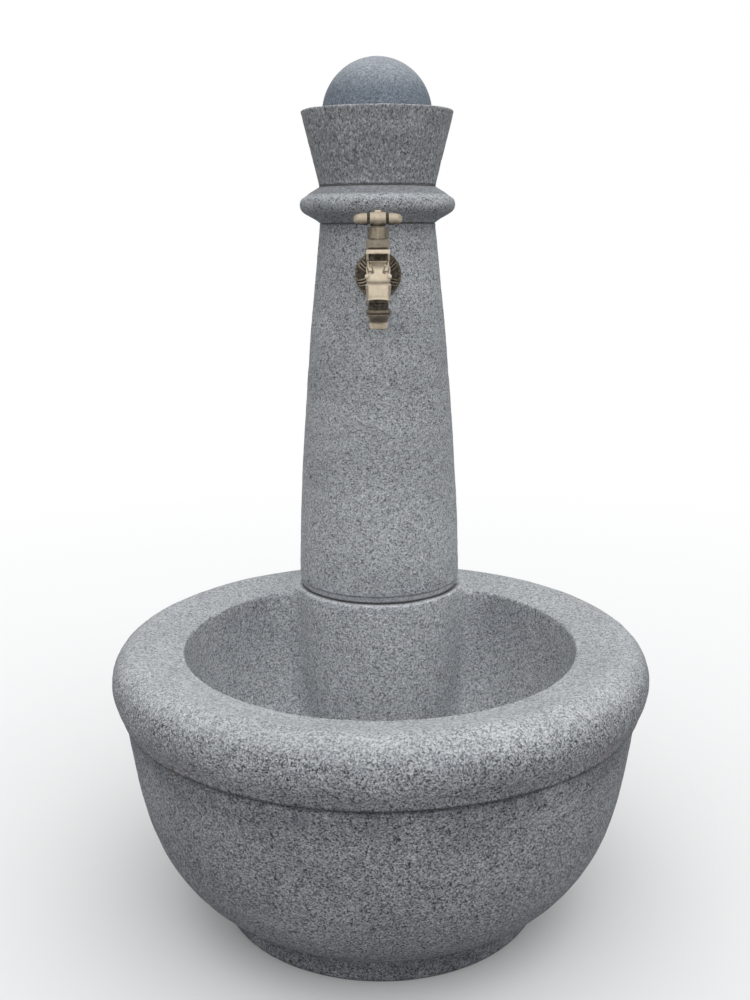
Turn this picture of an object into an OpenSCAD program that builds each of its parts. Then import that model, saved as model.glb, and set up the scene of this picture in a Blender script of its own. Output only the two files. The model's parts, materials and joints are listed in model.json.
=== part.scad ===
// Stone garden fountain: a granite basin, a round column with a collar, capital and ball,
// and a brass bib tap. Millimetres, +Z up, +X to the right and -Y to the front.
// The origin is on the ground, on the basin's own axis.

/* [Basin] */
// Widest radius of the basin, at its rim
rim_r = 300; // [290:1:330]
// Height of the rim's crown above the ground
rim_h = 320; // [300:1:360]
// Radius of the rim's rounded outer edge
nose_r = 35; // [25:1:40]
// Height of the rim band, from the crown down to the step under it
band_h = 68; // [55:1:85]
// How far the rim band draws in at its lower edge
band_draw = 7.5; // [3:0.5:12]
// How far the bowl steps in under the rim band
band_step = 4; // [3:0.5:10]
// Radius of the mouth, at the rim's inner edge
mouth_r = 219; // [205:1:230]
// How far the rim's top falls from the crown to the mouth
mouth_drop = 8; // [3:0.5:14]
// Radius of the rounded inner edge
lip_r = 4; // [2:0.5:6]
// Depth of the bowl inside, from the crown to the floor
bowl_depth = 242; // [200:1:250]
// Radius of the bowl where it meets the foot
bowl_base_r = 194; // [188:1:210]
// Radius of the foot on the ground
foot_r = 184; // [160:1:186]
// Radius at the top of the foot
foot_top_r = 187; // [180:1:188]
// Height of the foot
foot_h = 32; // [25:1:45]

/* [Pedestal] */
// Distance from the basin's axis back to the column's axis
column_y = 197; // [192:0.5:200]
// Radius of the pedestal that carries the column
pedestal_r = 106; // [104.5:0.5:110]
// Radius of the hollow between the pedestal and the basin's wall
pedestal_hollow_r = 30; // [20:1:36]

/* [Column] */
// Height of the shaft
shaft_h = 449; // [400:1:520]
// Radius at the bottom of the shaft
shaft_base_r = 103; // [98:0.5:104]
// Radius at the top of the shaft
shaft_top_r = 70.3; // [66:0.1:74]
// Power of the shaft's swelling: 1 is a straight taper
shaft_swell = 1.55; // [1:0.05:2]
// How far the smooth strip at the shaft's bottom is set in
strip_inset = 3; // [1:0.5:5]
// Height of the smooth strip
strip_h = 6; // [4:0.5:12]
// Radius of the shaft's lower edge
shaft_edge_r = 4; // [2:0.5:6]
// Radius of the core hole in the shaft
core_r = 22; // [21:0.5:26]
// Thickness of the bed under the shaft
base_bed_t = 2; // [1:0.5:4]
// Thickness of the beds above the shaft
head_bed_t = 1.5; // [1:0.1:3]
// How far each bed keeps back from the stone's edge
bed_inset = 3; // [2:0.5:6]

/* [Head] */
// Height of the collar with its neck
collar_h = 42; // [40:0.5:60]
// Radius of the collar's bullnose section
collar_nose_r = 14.5; // [11:0.5:16]
// Radius from the axis to the middle of the bullnose
collar_mid_r = 80; // [77:0.5:84]
// Radius of the hollow of the neck
neck_hollow_r = 9.5; // [5:0.5:13]
// Height of the capital
capital_h = 86; // [75:0.5:110]
// Radius of the capital at its top
capital_top_r = 91.5; // [84:0.5:100]
// Radius of the capital's upper edge
capital_edge_r = 3; // [1:0.5:6]
// Radius of the ball
ball_r = 65.6; // [50:0.1:72]
// How far the ball's centre lies under the capital's top
ball_sunk = 5; // [2:0.5:12]
// Thickness of the ball's bed
ball_bed_t = 1; // [0.5:0.5:2]

/* [Dowels] */
// Radius of the pair of dowels under the shaft
base_dowel_r = 8; // [5:0.5:10]
// Distance of each of them from the column's axis
base_dowel_x = 62; // [45:1:75]
// How far they reach into each stone
base_dowel_grip = 60; // [40:1:90]
// Radius of the dowel through the collar
head_dowel_r = 8; // [5:0.5:10]
// How far it reaches into the shaft
head_dowel_down = 22; // [15:1:24]
// How far it reaches into the capital
head_dowel_up = 34; // [20:1:40]
// Radius of the dowel under the ball
ball_dowel_r = 6; // [4:0.5:8]
// How far it reaches into the ball and into the capital
ball_dowel_grip = 28; // [20:1:34]
// Gap round a dowel in its hole
dowel_gap = 0.15; // [0.1:0.05:0.4]

/* [Supply pipe] */
// Outer radius of the pipe
pipe_r = 7.5; // [6:0.5:9]
// Wall of the pipe
pipe_wall = 1; // [0.7:0.1:1.5]
// Radius of the pipe's hole through the pedestal
pipe_hole_r = 11; // [10:0.5:14]
// Radius of the pocket under the basin, where the pipe is joined
pocket_r = 22; // [20:0.5:28]
// Height of that pocket
pocket_h = 72; // [60:1:100]
// Length of the rubber grommet over the pocket
grommet_h = 20; // [10:1:30]
// Width and thickness of the grommet's flange under the stone
grommet_flange = 4; // [2:0.5:6]
// Outer radius of the half-inch pipe thread
half_inch_r = 10.48; // [8.3:0.01:10.48]
// Height of the inlet thread's end above the ground
inlet_z = 8; // [4:1:14]
// Length of the inlet thread
inlet_thread_h = 12; // [10:0.5:14]
// Distance across the corners of the union's hexagons
union_corners = 30; // [26:0.5:34]
// Height of the union's hexagon
union_hex_h = 8; // [6:0.5:10]
// Height of the compression nut
comp_nut_h = 15; // [13:0.5:18]
// Thickness of the compression nut's end, over the olive
comp_nut_end = 2.5; // [2:0.5:4]
// Height of the olive
olive_h = 3.5; // [2.5:0.5:5]

/* [Wall elbow] */
// Outer radius of the elbow's pipe socket
elbow_leg_r = 10; // [9.5:0.1:12]
// Outer radius of the elbow's threaded socket
elbow_socket_r = 13.5; // [12.5:0.1:14.5]
// Distance from the elbow's middle to the end of the threaded socket
elbow_reach = 15.5; // [14.5:0.1:16.5]
// Distance from the elbow's middle to the end of its pipe socket
elbow_drop = 22; // [18:0.5:26]
// Depth of the threaded socket
elbow_socket_depth = 10; // [8:0.5:10.5]
// Outer radius of the extension piece
extension_r = 13; // [12:0.1:13.2]
// Thickness of the fibre washer behind the extension
extension_washer_t = 1.5; // [1:0.1:3]
// Distance from the seat in the stone back to the extension's front
extension_set_back = 4.5; // [1:0.5:8]
// Radius of the hole through the stone behind the tap
tap_hole_r = 14; // [13.5:0.1:16]

/* [Tap] */
// How far the tap's inlet lies below the top of the shaft
tap_drop = 57; // [50:0.5:80]
// Radius of the flat seat cut in the shaft behind the rosette
seat_r = 28; // [27.5:0.5:34]
// Depth of that seat
seat_cut = 1.2; // [0.6:0.1:2]
// Radius of the rosette
rosette_r = 27; // [22:0.5:27.4]
// Thickness of the rosette at its middle
rosette_t = 8.6; // [6:0.1:11]
// Thickness of the rosette at its edge
rosette_edge_t = 2.4; // [1.5:0.1:4]
// Distance from the seat to the spindle's axis
spindle_reach = 51.6; // [48:0.1:58]
// Distance from the spindle's axis forward to the spout's axis
spout_reach = 32; // [30:0.5:40]
// Outer radius of the tap's inlet barrel
barrel_r = 12; // [11.5:0.1:13]
// Outer radius of the body under the bonnet
chest_r = 12.7; // [12:0.1:14]
// Height of the body's top above the inlet's axis
chest_h = 29.5; // [28:0.5:38]
// Outer radius of the bulb round the valve seat
bulb_r = 14.5; // [14:0.1:16]
// Outer radius of the spout
spout_r = 11.5; // [10.9:0.1:12.2]
// Radius of the spout's bend, on its centre line
bend_r = 16; // [15:0.5:18]
// Outer radius at the mouth of the spout's sleeve
sleeve_r = 13.6; // [13:0.1:15]
// Height of the sleeve
sleeve_h = 22; // [16:0.5:24]
// Depth of the spout's mouth below the inlet's axis
mouth_depth = 27; // [24:0.5:34]
// Length of the tap's threaded tail inside the extension
tail_grip = 14; // [10:0.5:18]
// Radius of the water way
way_r = 5.5; // [4.5:0.1:6]
// Radius of the passage under the valve seat
passage_r = 4; // [3:0.1:4.4]
// Wall between the chamber and the water ways
way_wall = 2; // [1.5:0.1:2.5]
// Radius of the scrolls beside the spout
scroll_r = 5.2; // [4:0.1:6]
// Width over both scrolls
scroll_w = 29; // [26:0.5:32]

/* [Valve] */
// Height of the valve seat above the inlet's axis
valve_seat_h = 2; // [1:0.5:3]
// Radius of the seat's hole
seat_hole_r = 5; // [4:0.1:5.5]
// Radius of the chamber, which is also the bonnet's thread
chamber_r = 9.45; // [9:0.05:10]
// Radius of the valve washer
valve_washer_r = 7.2; // [6.5:0.1:8]
// Thickness of the valve washer
valve_washer_t = 3; // [2:0.1:4]
// Thickness of the jumper's disc
jumper_t = 2.5; // [2:0.1:3]
// Radius of the jumper's stem
jumper_stem_r = 2.5; // [2:0.1:3]
// Length of the jumper's stem
jumper_stem_h = 12; // [8:0.5:13]
// Lift of the valve from shut to open
valve_lift = 3.5; // [2:0.1:3.5]
// Radius of the spindle
spindle_r = 4; // [3.5:0.1:4.5]
// Radius of the spindle's threaded foot
spindle_foot_r = 5.5; // [5:0.1:6]
// Height of the spindle's threaded foot
spindle_foot_h = 20.5; // [18:0.5:24]
// Running gap of the turning pieces
run_gap = 0.06; // [0.02:0.01:0.1]
// Gap between a thread and the piece screwed on it
thread_gap = 0.06; // [0.02:0.01:0.2]
// Gap between the spindle's foot and the jumper
seat_gap = 0.3; // [0.2:0.05:0.5]

/* [Bonnet and handle] */
// Distance across the corners of the bonnet's hexagon
bonnet_corners = 26.3; // [24:0.1:28]
// Height of the bonnet's hexagon
bonnet_hex_h = 7.5; // [5:0.5:9]
// Length of the bonnet's thread in the body
bonnet_thread_h = 12; // [9:0.5:13]
// Thickness of the washer under the bonnet
bonnet_washer_t = 1.5; // [1:0.1:2]
// Height of the hollowed rise above the hexagon
bonnet_rise_h = 2; // [1:0.5:3]
// Radius of the gland's thread
gland_thread_r = 8.2; // [7.8:0.1:8.6]
// Height of the gland's thread
gland_thread_h = 7.5; // [6:0.5:9]
// Radius of the packing
packing_r = 6.4; // [6:0.1:6.6]
// Height of the packing
packing_h = 5; // [3:0.5:6]
// How far the gland nut presses into the packing's chamber
packing_press = 1; // [0.5:0.1:2]
// Distance across the corners of the gland nut
gland_corners = 23.4; // [21.5:0.1:25]
// Height of the gland nut
gland_nut_h = 13.5; // [12:0.5:16]
// Gap between the gland nut and the handle
handle_gap = 0.6; // [0.4:0.1:2]
// How far the spindle's end stands over the middle of the handle
spindle_rise = 2; // [0:0.1:2.5]
// Length of the T-handle
handle_w = 55.5; // [46:0.5:58.5]
// Radius of the handle's arms
handle_arm_r = 6.1; // [5:0.1:7]
// Radius of the handle's end
handle_end_r = 4.2; // [3:0.1:5]
// Radius of the barrel in the handle's middle
handle_hub_r = 7.7; // [7.2:0.1:8.5]
// Width of that barrel
handle_hub_w = 17; // [13:0.5:20]
// Radius of the handle screw's head
screw_head_r = 3.7; // [3:0.1:4.5]
// Radius of the handle screw's shank
screw_r = 2; // [1.5:0.1:2.4]
// Length of the handle screw's shank
screw_h = 14; // [9:0.5:16]
// Depth of the flat under the screw's head
screw_flat = 0.7; // [0.5:0.1:1.2]

/* [Hose nozzle] */
// Radius of the nozzle's thread in the spout
nozzle_thread_r = 9.6; // [9:0.1:9.8]
// Length of that thread
nozzle_thread_h = 9; // [7:0.5:11]
// Radius of the nozzle's neck
nozzle_neck_r = 11.5; // [11:0.1:12]
// Radius of the nozzle's ring
nozzle_ring_r = 13.5; // [12.5:0.1:14.5]
// Radius at the top of the nozzle's taper
nozzle_taper_r = 11; // [10.2:0.1:11.5]
// Radius of the nozzle's end, where a hose goes on
nozzle_end_r = 9.7; // [8.5:0.1:10]
// Radius of the nozzle's bore
nozzle_bore_r = 6; // [4:0.1:7]
// Height of each step of the nozzle: neck, ring, taper and end
nozzle_step_h = 7; // [6:0.1:8]

/* [Drain] */
// Radius of the waste's flange
waste_flange_r = 35; // [33:0.5:38]
// Thickness of the waste's flange
waste_flange_t = 4; // [3.5:0.5:6]
// Outer radius of the waste's thread
waste_r = 23.9; // [23:0.1:25]
// Radius of the waste's bore
waste_bore_r = 19; // [17:0.1:19.5]
// Wall of the waste's plain tail, where the drain fitting goes on
waste_tail_wall = 2.5; // [1.5:0.1:3]
// How far the waste's thread shows under the locknut
waste_thread_show = 1; // [0.5:0.5:3]
// Height of the waste's end above the ground
waste_end_z = 10; // [4:1:20]
// Radius of the recess under the basin
recess_r = 46; // [42:0.5:47]
// Height of the recess under the basin
recess_h = 40; // [36:0.5:46]
// Thickness of the gasket under the flange
gasket_t = 2; // [1:0.5:3]
// Thickness of the washer over the locknut
back_washer_t = 3; // [2:0.5:4]
// Distance across the corners of the locknut
locknut_corners = 66; // [60:0.5:72]
// Height of the locknut
locknut_h = 8; // [6:0.5:12]
// How far the flange lies below the bowl's floor
waste_sunk = 1; // [0:0.5:2]
// Width of the washer over the locknut
back_washer_w = 8; // [5:0.5:12]
// Thickness of the grate
grate_t = 2; // [1.5:0.1:2.4]
// Width of the ledge that carries the grate
grate_ledge = 6.5; // [3:0.5:8]
// Number of rings of holes in the grate, each with six more than the one inside it
grate_rings = 3; // [2:1:3]
// How far the outer holes lie inside the waste's bore
grate_hole_edge = 1.5; // [1:0.1:2]
// Radius of each hole in the grate
grate_hole_r = 1.8; // [1.2:0.1:1.9]

/* [Hidden] */
$fn = 96;
eps = 0.01; // a small overlap that joins two pieces of one solid
over = 2; // how far a cutter runs past the face that it cuts

// Heights, from the ground up
floor_z = rim_h - bowl_depth;
band_z = rim_h - band_h;
nose_z = rim_h - nose_r;
mouth_z = rim_h - mouth_drop;
shaft_z = rim_h + base_bed_t;
shaft_top_z = shaft_z + shaft_h;
collar_z = shaft_top_z + head_bed_t;
collar_top_z = collar_z + collar_h;
capital_z = collar_top_z + head_bed_t;
capital_top_z = capital_z + capital_h;
ball_mid_z = capital_top_z - ball_sunk;
ball_base_z = capital_top_z + ball_bed_t;
ball_top_z = ball_mid_z + ball_r;
ball_base_r = sqrt(ball_r * ball_r - pow(ball_base_z - ball_mid_z, 2));

// The tap's places
tap_z = shaft_top_z - tap_drop;
seat_y = column_y - shaft_r(tap_z) + seat_cut;
rosette_front_y = seat_y - rosette_t;
spindle_y = seat_y - spindle_reach;
spout_y = spindle_y - spout_reach;
chest_top_z = tap_z + chest_h;
spout_z = tap_z + valve_seat_h;
spout_mouth_z = tap_z - mouth_depth;

// The valve, from its seat up
valve_seat_z = tap_z + valve_seat_h;
passage_z = valve_seat_z - way_wall - passage_r;
way_end_y = spindle_y + chamber_r + 2 * way_wall;
jumper_z = valve_seat_z + valve_washer_t;
spindle_foot_z = jumper_z + jumper_t + seat_gap;
spindle_shoulder_z = spindle_foot_z + spindle_foot_h;

// The bonnet and handle, from the body's top up
bonnet_hex_z = chest_top_z + bonnet_washer_t;
bonnet_rise_z = bonnet_hex_z + bonnet_hex_h;
gland_z = bonnet_rise_z + bonnet_rise_h;
gland_top_z = gland_z + gland_nut_h;
packing_z = gland_z + gland_thread_h - packing_h - packing_press;
handle_z = gland_top_z + handle_gap + handle_hub_r;
spindle_top_z = handle_z + spindle_rise;
screw_seat_z = handle_z + handle_hub_r - screw_flat;

// The nozzle, from the spout's mouth down
nozzle_ring_z = spout_mouth_z - 2 * nozzle_step_h - 0.5;
nozzle_taper_z = nozzle_ring_z - nozzle_step_h;
nozzle_end_z = nozzle_taper_z - nozzle_step_h;

// The supply pipe's places
core_top_z = tap_z + elbow_leg_r + 14;
elbow_foot_z = tap_z - elbow_drop;
pipe_top_z = tap_z - half_inch_r - 2;
union_z = inlet_z + inlet_thread_h;
comp_nut_z = union_z + union_hex_h + 1;
olive_z = comp_nut_z + comp_nut_h - comp_nut_end - olive_h;
pipe_foot_z = union_z + 4;
elbow_face_y = column_y - elbow_reach;
extension_y = elbow_face_y - extension_washer_t;
extension_front_y = seat_y + extension_set_back;
tail_end_y = extension_front_y + tail_grip;

// The drain's places
flange_top_z = floor_z - waste_sunk;
flange_z = flange_top_z - waste_flange_t;
gasket_z = flange_z - gasket_t;
back_washer_z = recess_h - back_washer_t;
locknut_z = back_washer_z - locknut_h;
grate_seat_r = waste_bore_r + grate_ledge;
grate_rim_r = waste_bore_r - grate_hole_r - grate_hole_edge;
waste_tail_r = waste_bore_r + waste_tail_wall;
waste_tail_top_z = locknut_z - waste_thread_show;

granite = "#8f9194";
sawn_granite = "#9a9b9c";
blue_granite = "#747b82";
brass = "#a8905f";
bronze = "#6f5a3a";
steel = "#b8bcc0";

// Points on an arc round c, from angle a to angle b
function arc(c, r, a, b, n = 8) =
    [for (i = [0:n]) let (t = a + (b - a) * i / n) [c[0] + r * cos(t), c[1] + r * sin(t)]];

// The shaft's radius at a height: its taper grows with a power of the height
function shaft_r(z) =
    shaft_base_r - (shaft_base_r - shaft_top_r) * pow(max(z - shaft_z, 0) / shaft_h, shaft_swell);

// The bowl's outer radius at t from 0 at the foot to 1 under the rim band:
// a straight lean with a belly added, which turns in fast near the foot
bowl_lean = 0.32;
bowl_belly = 4.25;
bowl_turn = 0.86;
bowl_top_r = rim_r - band_draw - band_step;
function bowl_r(t) = bowl_base_r + (bowl_top_r - bowl_base_r)
    * (bowl_lean * t + (1 - bowl_lean) * pow(1 - pow(1 - t, bowl_belly), bowl_turn));

// The bowl's inner radius at t from 0 at the floor to 1 at the mouth
cavity_belly = 3;
cavity_turn = 0.4;
function cavity_r(t) = mouth_r * pow(1 - pow(1 - t, cavity_belly), cavity_turn);

// The basin's outside in section, from the ground up to the widest point
function basin_outside() = concat(
    [[foot_r, 0], [foot_top_r, foot_h]],
    [for (i = [0:16]) let (t = pow(i / 16, 1.5)) [bowl_r(t), foot_h + (band_z - foot_h) * t]],
    arc([rim_r - band_draw - 3.5, band_z + 3.5], 3.5, -90, -15, 5),
    [for (i = [1:8]) let (u = 1 - i / 8)
        [rim_r - band_draw * u * u, nose_z - (nose_z - band_z - 6) * u]]);

module turned(points, angle = 360) rotate_extrude(angle = angle) polygon(points);

// A straight round bar along Z, from one height to another
module bar(r, z0, z1) translate([0, 0, z0]) cylinder(r = r, h = z1 - z0);

// A ring along Z
module ring(r_out, r_in, z0, z1) difference() {
    bar(r_out, z0, z1);
    bar(r_in, z0 - over, z1 + over);
}

// A hexagonal bar along Z, by the distance across its corners
module hex_bar(corners, z0, z1)
    translate([0, 0, z0]) cylinder(d = corners, h = z1 - z0, $fn = 6);

// A round bar along Y, from a front place to a back place, on the tap's inlet axis or at height z
module bar_y(r, y0, y1, z = tap_z)
    translate([0, y0, z]) rotate([-90, 0, 0]) cylinder(r = r, h = y1 - y0);

module on_column() translate([0, column_y, 0]) children();
module on_spindle() translate([0, spindle_y, 0]) children();
module on_spout() translate([0, spout_y, 0]) children();

module dowel_pair(r, z0, z1)
    for (side = [-1, 1]) translate([side * base_dowel_x, 0, 0]) bar(r, z0, z1);

// What fills the corners between the pedestal and the basin's wall, up to just under the mouth.
// Each hollow's arc cuts a little into both, so that they meet at a clear edge.
module pedestal_hollows() {
    bite = 1;
    wall = mouth_r + 4 * bite - pedestal_hollow_r;
    reach = pedestal_r - bite + pedestal_hollow_r;
    hollow_y = (wall * wall - reach * reach + column_y * column_y) / (2 * column_y);
    hollow_x = sqrt(wall * wall - hollow_y * hollow_y);
    out = (mouth_r + 12) / wall;
    back_y = column_y + pedestal_r / 3;
    translate([0, 0, floor_z - over]) linear_extrude(mouth_z - 2 * lip_r - floor_z + over)
        for (side = [-1, 1]) difference() {
            polygon([[0, column_y], [side * hollow_x, hollow_y],
                [side * hollow_x * out, hollow_y * out], [side * hollow_x * out, back_y], [0, back_y]]);
            translate([side * hollow_x, hollow_y]) circle(r = pedestal_hollow_r);
        }
}

module basin() color(granite) difference() {
    union() {
        turned(concat([[0, 0]], basin_outside(),
            arc([rim_r - nose_r, nose_z], nose_r, 9, 90, 9),
            arc([mouth_r + lip_r, mouth_z - lip_r], lip_r, 90, 180, 4),
            [for (i = [11:-1:0]) let (t = pow(i / 12, 2))
                [cavity_r(t), floor_z + (mouth_z - lip_r - floor_z) * t]]));
        intersection() {
            union() {
                on_column() bar(pedestal_r, floor_z - over, rim_h);
                pedestal_hollows();
            }
            turned(concat([[0, 0]], basin_outside(), [[rim_r, rim_h], [0, rim_h]]));
        }
    }
    on_column() {
        bar(pocket_r, -over, pocket_h);
        bar(pipe_hole_r, 0, rim_h + over);
        dowel_pair(base_dowel_r + dowel_gap, rim_h - base_dowel_grip, rim_h + over);
    }
    bar(recess_r, -over, recess_h);
    bar(waste_r + 0.5, 0, floor_z + over);
    bar(waste_flange_r + 0.5, gasket_z, floor_z + over);
}

module base_bed() color(sawn_granite) on_column() difference() {
    ring(shaft_base_r - strip_inset - bed_inset, core_r + bed_inset, rim_h, shaft_z);
    dowel_pair(base_dowel_r + dowel_gap, rim_h - over, shaft_z + over);
}

module column_shaft() color(granite) difference() {
    on_column() turned(concat(
        [[0, shaft_z], [shaft_base_r - strip_inset, shaft_z],
            [shaft_base_r - strip_inset, shaft_z + strip_h]],
        arc([shaft_base_r - shaft_edge_r, shaft_z + strip_h + shaft_edge_r], shaft_edge_r, -60, 0, 4),
        [for (i = [2:20]) let (z = shaft_z + shaft_h * i / 20) [shaft_r(z), z]],
        [[0, shaft_top_z]]));
    on_column() {
        bar(core_r, shaft_z - over, core_top_z);
        dowel_pair(base_dowel_r + dowel_gap, shaft_z - over, shaft_z + base_dowel_grip + 1);
        bar(head_dowel_r + dowel_gap, shaft_top_z - head_dowel_down, shaft_top_z + over);
    }
    bar_y(tap_hole_r, seat_y - over, column_y);
    bar_y(seat_r, seat_y - 20, seat_y);
}

module collar_bed() color(sawn_granite) on_column()
    ring(shaft_top_r - bed_inset, head_dowel_r + dowel_gap, shaft_top_z, collar_z);

module collar() color(granite) on_column() difference() {
    nose_mid_z = collar_top_z - neck_hollow_r - collar_nose_r;
    turned(concat([[0, collar_z], [shaft_top_r, collar_z]],
        arc([collar_mid_r, nose_mid_z], collar_nose_r, -80, 90, 17),
        arc([collar_mid_r, collar_top_z], neck_hollow_r, 270, 180, 9),
        [[0, collar_top_z]]));
    bar(head_dowel_r + dowel_gap, collar_z - over, collar_top_z + over);
}

module capital_bed() color(sawn_granite) on_column()
    ring(collar_mid_r - neck_hollow_r - bed_inset, head_dowel_r + dowel_gap, collar_top_z, capital_z);

module capital() color(granite) on_column() difference() {
    turned(concat([[0, capital_z], [collar_mid_r - neck_hollow_r, capital_z]],
        arc([capital_top_r - capital_edge_r, capital_top_z - capital_edge_r], capital_edge_r, -12, 90, 6),
        [[0, capital_top_z]]));
    bar(head_dowel_r + dowel_gap, capital_z - over, capital_z + head_dowel_up + 1);
    bar(ball_dowel_r + dowel_gap, capital_top_z - ball_dowel_grip, capital_top_z + over);
}

module ball_bed() color(sawn_granite) on_column()
    ring(ball_base_r - bed_inset, ball_dowel_r + dowel_gap, capital_top_z, ball_base_z);

module ball_finial() color(blue_granite) on_column() difference() {
    translate([0, 0, ball_mid_z]) sphere(r = ball_r);
    bar(ball_r + over, ball_mid_z - ball_r - over, ball_base_z);
    bar(ball_dowel_r + dowel_gap, ball_base_z - over, ball_base_z + ball_dowel_grip + 1);
}

module base_dowels() color(steel) on_column()
    dowel_pair(base_dowel_r, rim_h - base_dowel_grip, shaft_z + base_dowel_grip);

module head_dowel() color(steel) on_column()
    bar(head_dowel_r, shaft_top_z - head_dowel_down, capital_z + head_dowel_up);

module ball_dowel() color(steel) on_column()
    bar(ball_dowel_r, capital_top_z - ball_dowel_grip, ball_base_z + ball_dowel_grip);

module supply_pipe() color("#b87333") on_column()
    ring(pipe_r, pipe_r - pipe_wall, pipe_foot_z, pipe_top_z);

module pipe_grommet() color("#2b2b2b") on_column() {
    ring(pipe_hole_r, pipe_r, pocket_h, pocket_h + grommet_h);
    ring(pipe_hole_r + grommet_flange, pipe_r, pocket_h - grommet_flange, pocket_h);
}

module inlet_union() color(brass) on_column() difference() {
    union() {
        bar(half_inch_r, inlet_z, union_z);
        hex_bar(union_corners, union_z, union_z + union_hex_h);
        bar(half_inch_r, union_z, olive_z);
    }
    bar(pipe_r - pipe_wall, inlet_z - over, olive_z + over);
    bar(pipe_r + run_gap, pipe_foot_z, olive_z + over);
}

module compression_olive() color(brass) on_column()
    ring(half_inch_r - 0.5, pipe_r, olive_z, olive_z + olive_h);

module compression_nut() color(brass) on_column() difference() {
    hex_bar(union_corners, comp_nut_z, comp_nut_z + comp_nut_h);
    bar(half_inch_r + thread_gap, comp_nut_z - over, olive_z + olive_h);
    bar(pipe_r + run_gap, comp_nut_z, comp_nut_z + comp_nut_h + over);
}

module wall_elbow() color(brass) difference() {
    union() {
        on_column() {
            bar(elbow_leg_r, elbow_foot_z, tap_z);
            translate([0, 0, tap_z]) sphere(r = elbow_socket_r);
        }
        bar_y(elbow_socket_r, elbow_face_y, column_y);
    }
    on_column() {
        bar(pipe_r + run_gap, elbow_foot_z - over, pipe_top_z);
        bar(pipe_r - pipe_wall, pipe_top_z - over, tap_z);
    }
    bar_y(pipe_r - pipe_wall, elbow_face_y, column_y + 2);
    bar_y(half_inch_r + thread_gap, elbow_face_y - over, elbow_face_y + elbow_socket_depth);
}

module extension_washer() color("#7a3b2a") difference() {
    bar_y(extension_r, extension_y, elbow_face_y);
    bar_y(half_inch_r + thread_gap, extension_y - over, elbow_face_y + over);
}

module tap_extension() color(brass) difference() {
    union() {
        bar_y(extension_r, extension_front_y, extension_y);
        bar_y(half_inch_r, extension_y, elbow_face_y + elbow_socket_depth - 1);
    }
    bar_y(pipe_r - pipe_wall, extension_front_y, column_y);
    bar_y(half_inch_r + thread_gap, extension_front_y - over, tail_end_y + 1);
}

// The rosette is a low dome on the seat, with beads round its edge
module tap_rosette() color(bronze) difference() {
    translate([0, seat_y, tap_z]) rotate([90, 0, 0]) {
        turned(concat([[0, 0], [rosette_r, 0], [rosette_r, rosette_edge_t]],
            [for (i = [1:6]) let (u = 1 - i / 6)
                [barrel_r + 1 + (rosette_r - 2 - barrel_r) * u,
                    rosette_t - (rosette_t - rosette_edge_t - 1) * u * u]],
            [[0, rosette_t]]));
        for (i = [0:11]) rotate(i * 30 + 15)
            translate([rosette_r - 3, 0, rosette_edge_t + 0.6]) sphere(r = 1.7);
    }
    bar_y(half_inch_r + thread_gap, rosette_front_y - over, seat_y + over);
}

// The spout leaves the body level, bends down and ends in a sleeve
module spout_solid(r) {
    bar_y(r, spout_y + bend_r, spindle_y, spout_z);
    translate([0, spout_y + bend_r, spout_z - bend_r]) rotate([90, 0, -90])
        rotate_extrude(angle = 90) translate([bend_r, 0]) circle(r = r);
    on_spout() bar(r, spout_mouth_z, spout_z - bend_r);
}

module tap_body() color(brass) difference() {
    union() {
        bar_y(half_inch_r, rosette_front_y, tail_end_y);
        bar_y(barrel_r, spindle_y, rosette_front_y);
        bar_y(barrel_r + 2, rosette_front_y - 4, rosette_front_y);
        on_spindle() {
            bar(chest_r, tap_z, chest_top_z);
            translate([0, 0, tap_z - 3]) sphere(r = bulb_r);
        }
        spout_solid(spout_r);
        on_spout() turned([[0, spout_mouth_z], [sleeve_r, spout_mouth_z],
            [sleeve_r, spout_mouth_z + 1.5], [sleeve_r - 0.9, spout_mouth_z + 3.5],
            [spout_r + 1, spout_mouth_z + sleeve_h - 3], [spout_r, spout_mouth_z + sleeve_h],
            [0, spout_mouth_z + sleeve_h]]);
        translate([-scroll_w / 2, spout_y + bend_r - 2, tap_z - 1]) rotate([0, 90, 0])
            cylinder(r = scroll_r, h = scroll_w);
    }
    // From the inlet along under the seat, up through it, and out over it
    bar_y(way_r, way_end_y, tail_end_y + over);
    bar_y(passage_r, spindle_y, way_end_y + over, passage_z);
    on_spindle() {
        bar(seat_hole_r, passage_z, valve_seat_z + over);
        bar(chamber_r, valve_seat_z, chest_top_z + over);
    }
    difference() {
        spout_solid(way_r);
        on_spindle() bar(chamber_r, spout_mouth_z, valve_seat_z);
    }
    on_spout() {
        bar(nozzle_bore_r, spout_mouth_z - over, spout_z - bend_r);
        bar(nozzle_thread_r + thread_gap, spout_mouth_z - over, spout_mouth_z + nozzle_thread_h + 2);
    }
}

module bonnet_washer() color("#7a3b2a") on_spindle()
    ring(chest_r - 0.7, chamber_r, chest_top_z, bonnet_hex_z);

module bonnet() color(brass) on_spindle() difference() {
    union() {
        bar(chamber_r - thread_gap, chest_top_z - bonnet_thread_h, bonnet_hex_z);
        hex_bar(bonnet_corners, bonnet_hex_z, bonnet_rise_z);
        turned([[0, bonnet_rise_z - 1], [bonnet_corners / 2 - 2, bonnet_rise_z - 1],
            [bonnet_corners / 2 - 2, bonnet_rise_z], [gland_thread_r + 1.5, gland_z],
            [gland_thread_r, gland_z], [gland_thread_r, gland_z + gland_thread_h],
            [0, gland_z + gland_thread_h]]);
    }
    bar(spindle_foot_r + run_gap, chest_top_z - bonnet_thread_h - over,
        spindle_shoulder_z + valve_lift + 1);
    bar(spindle_r + run_gap, chest_top_z, gland_z + gland_thread_h);
    bar(packing_r, packing_z, gland_z + gland_thread_h + over);
}

module gland_packing() color("#d8d2c0") on_spindle()
    ring(packing_r, spindle_r + run_gap, packing_z, packing_z + packing_h);

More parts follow.
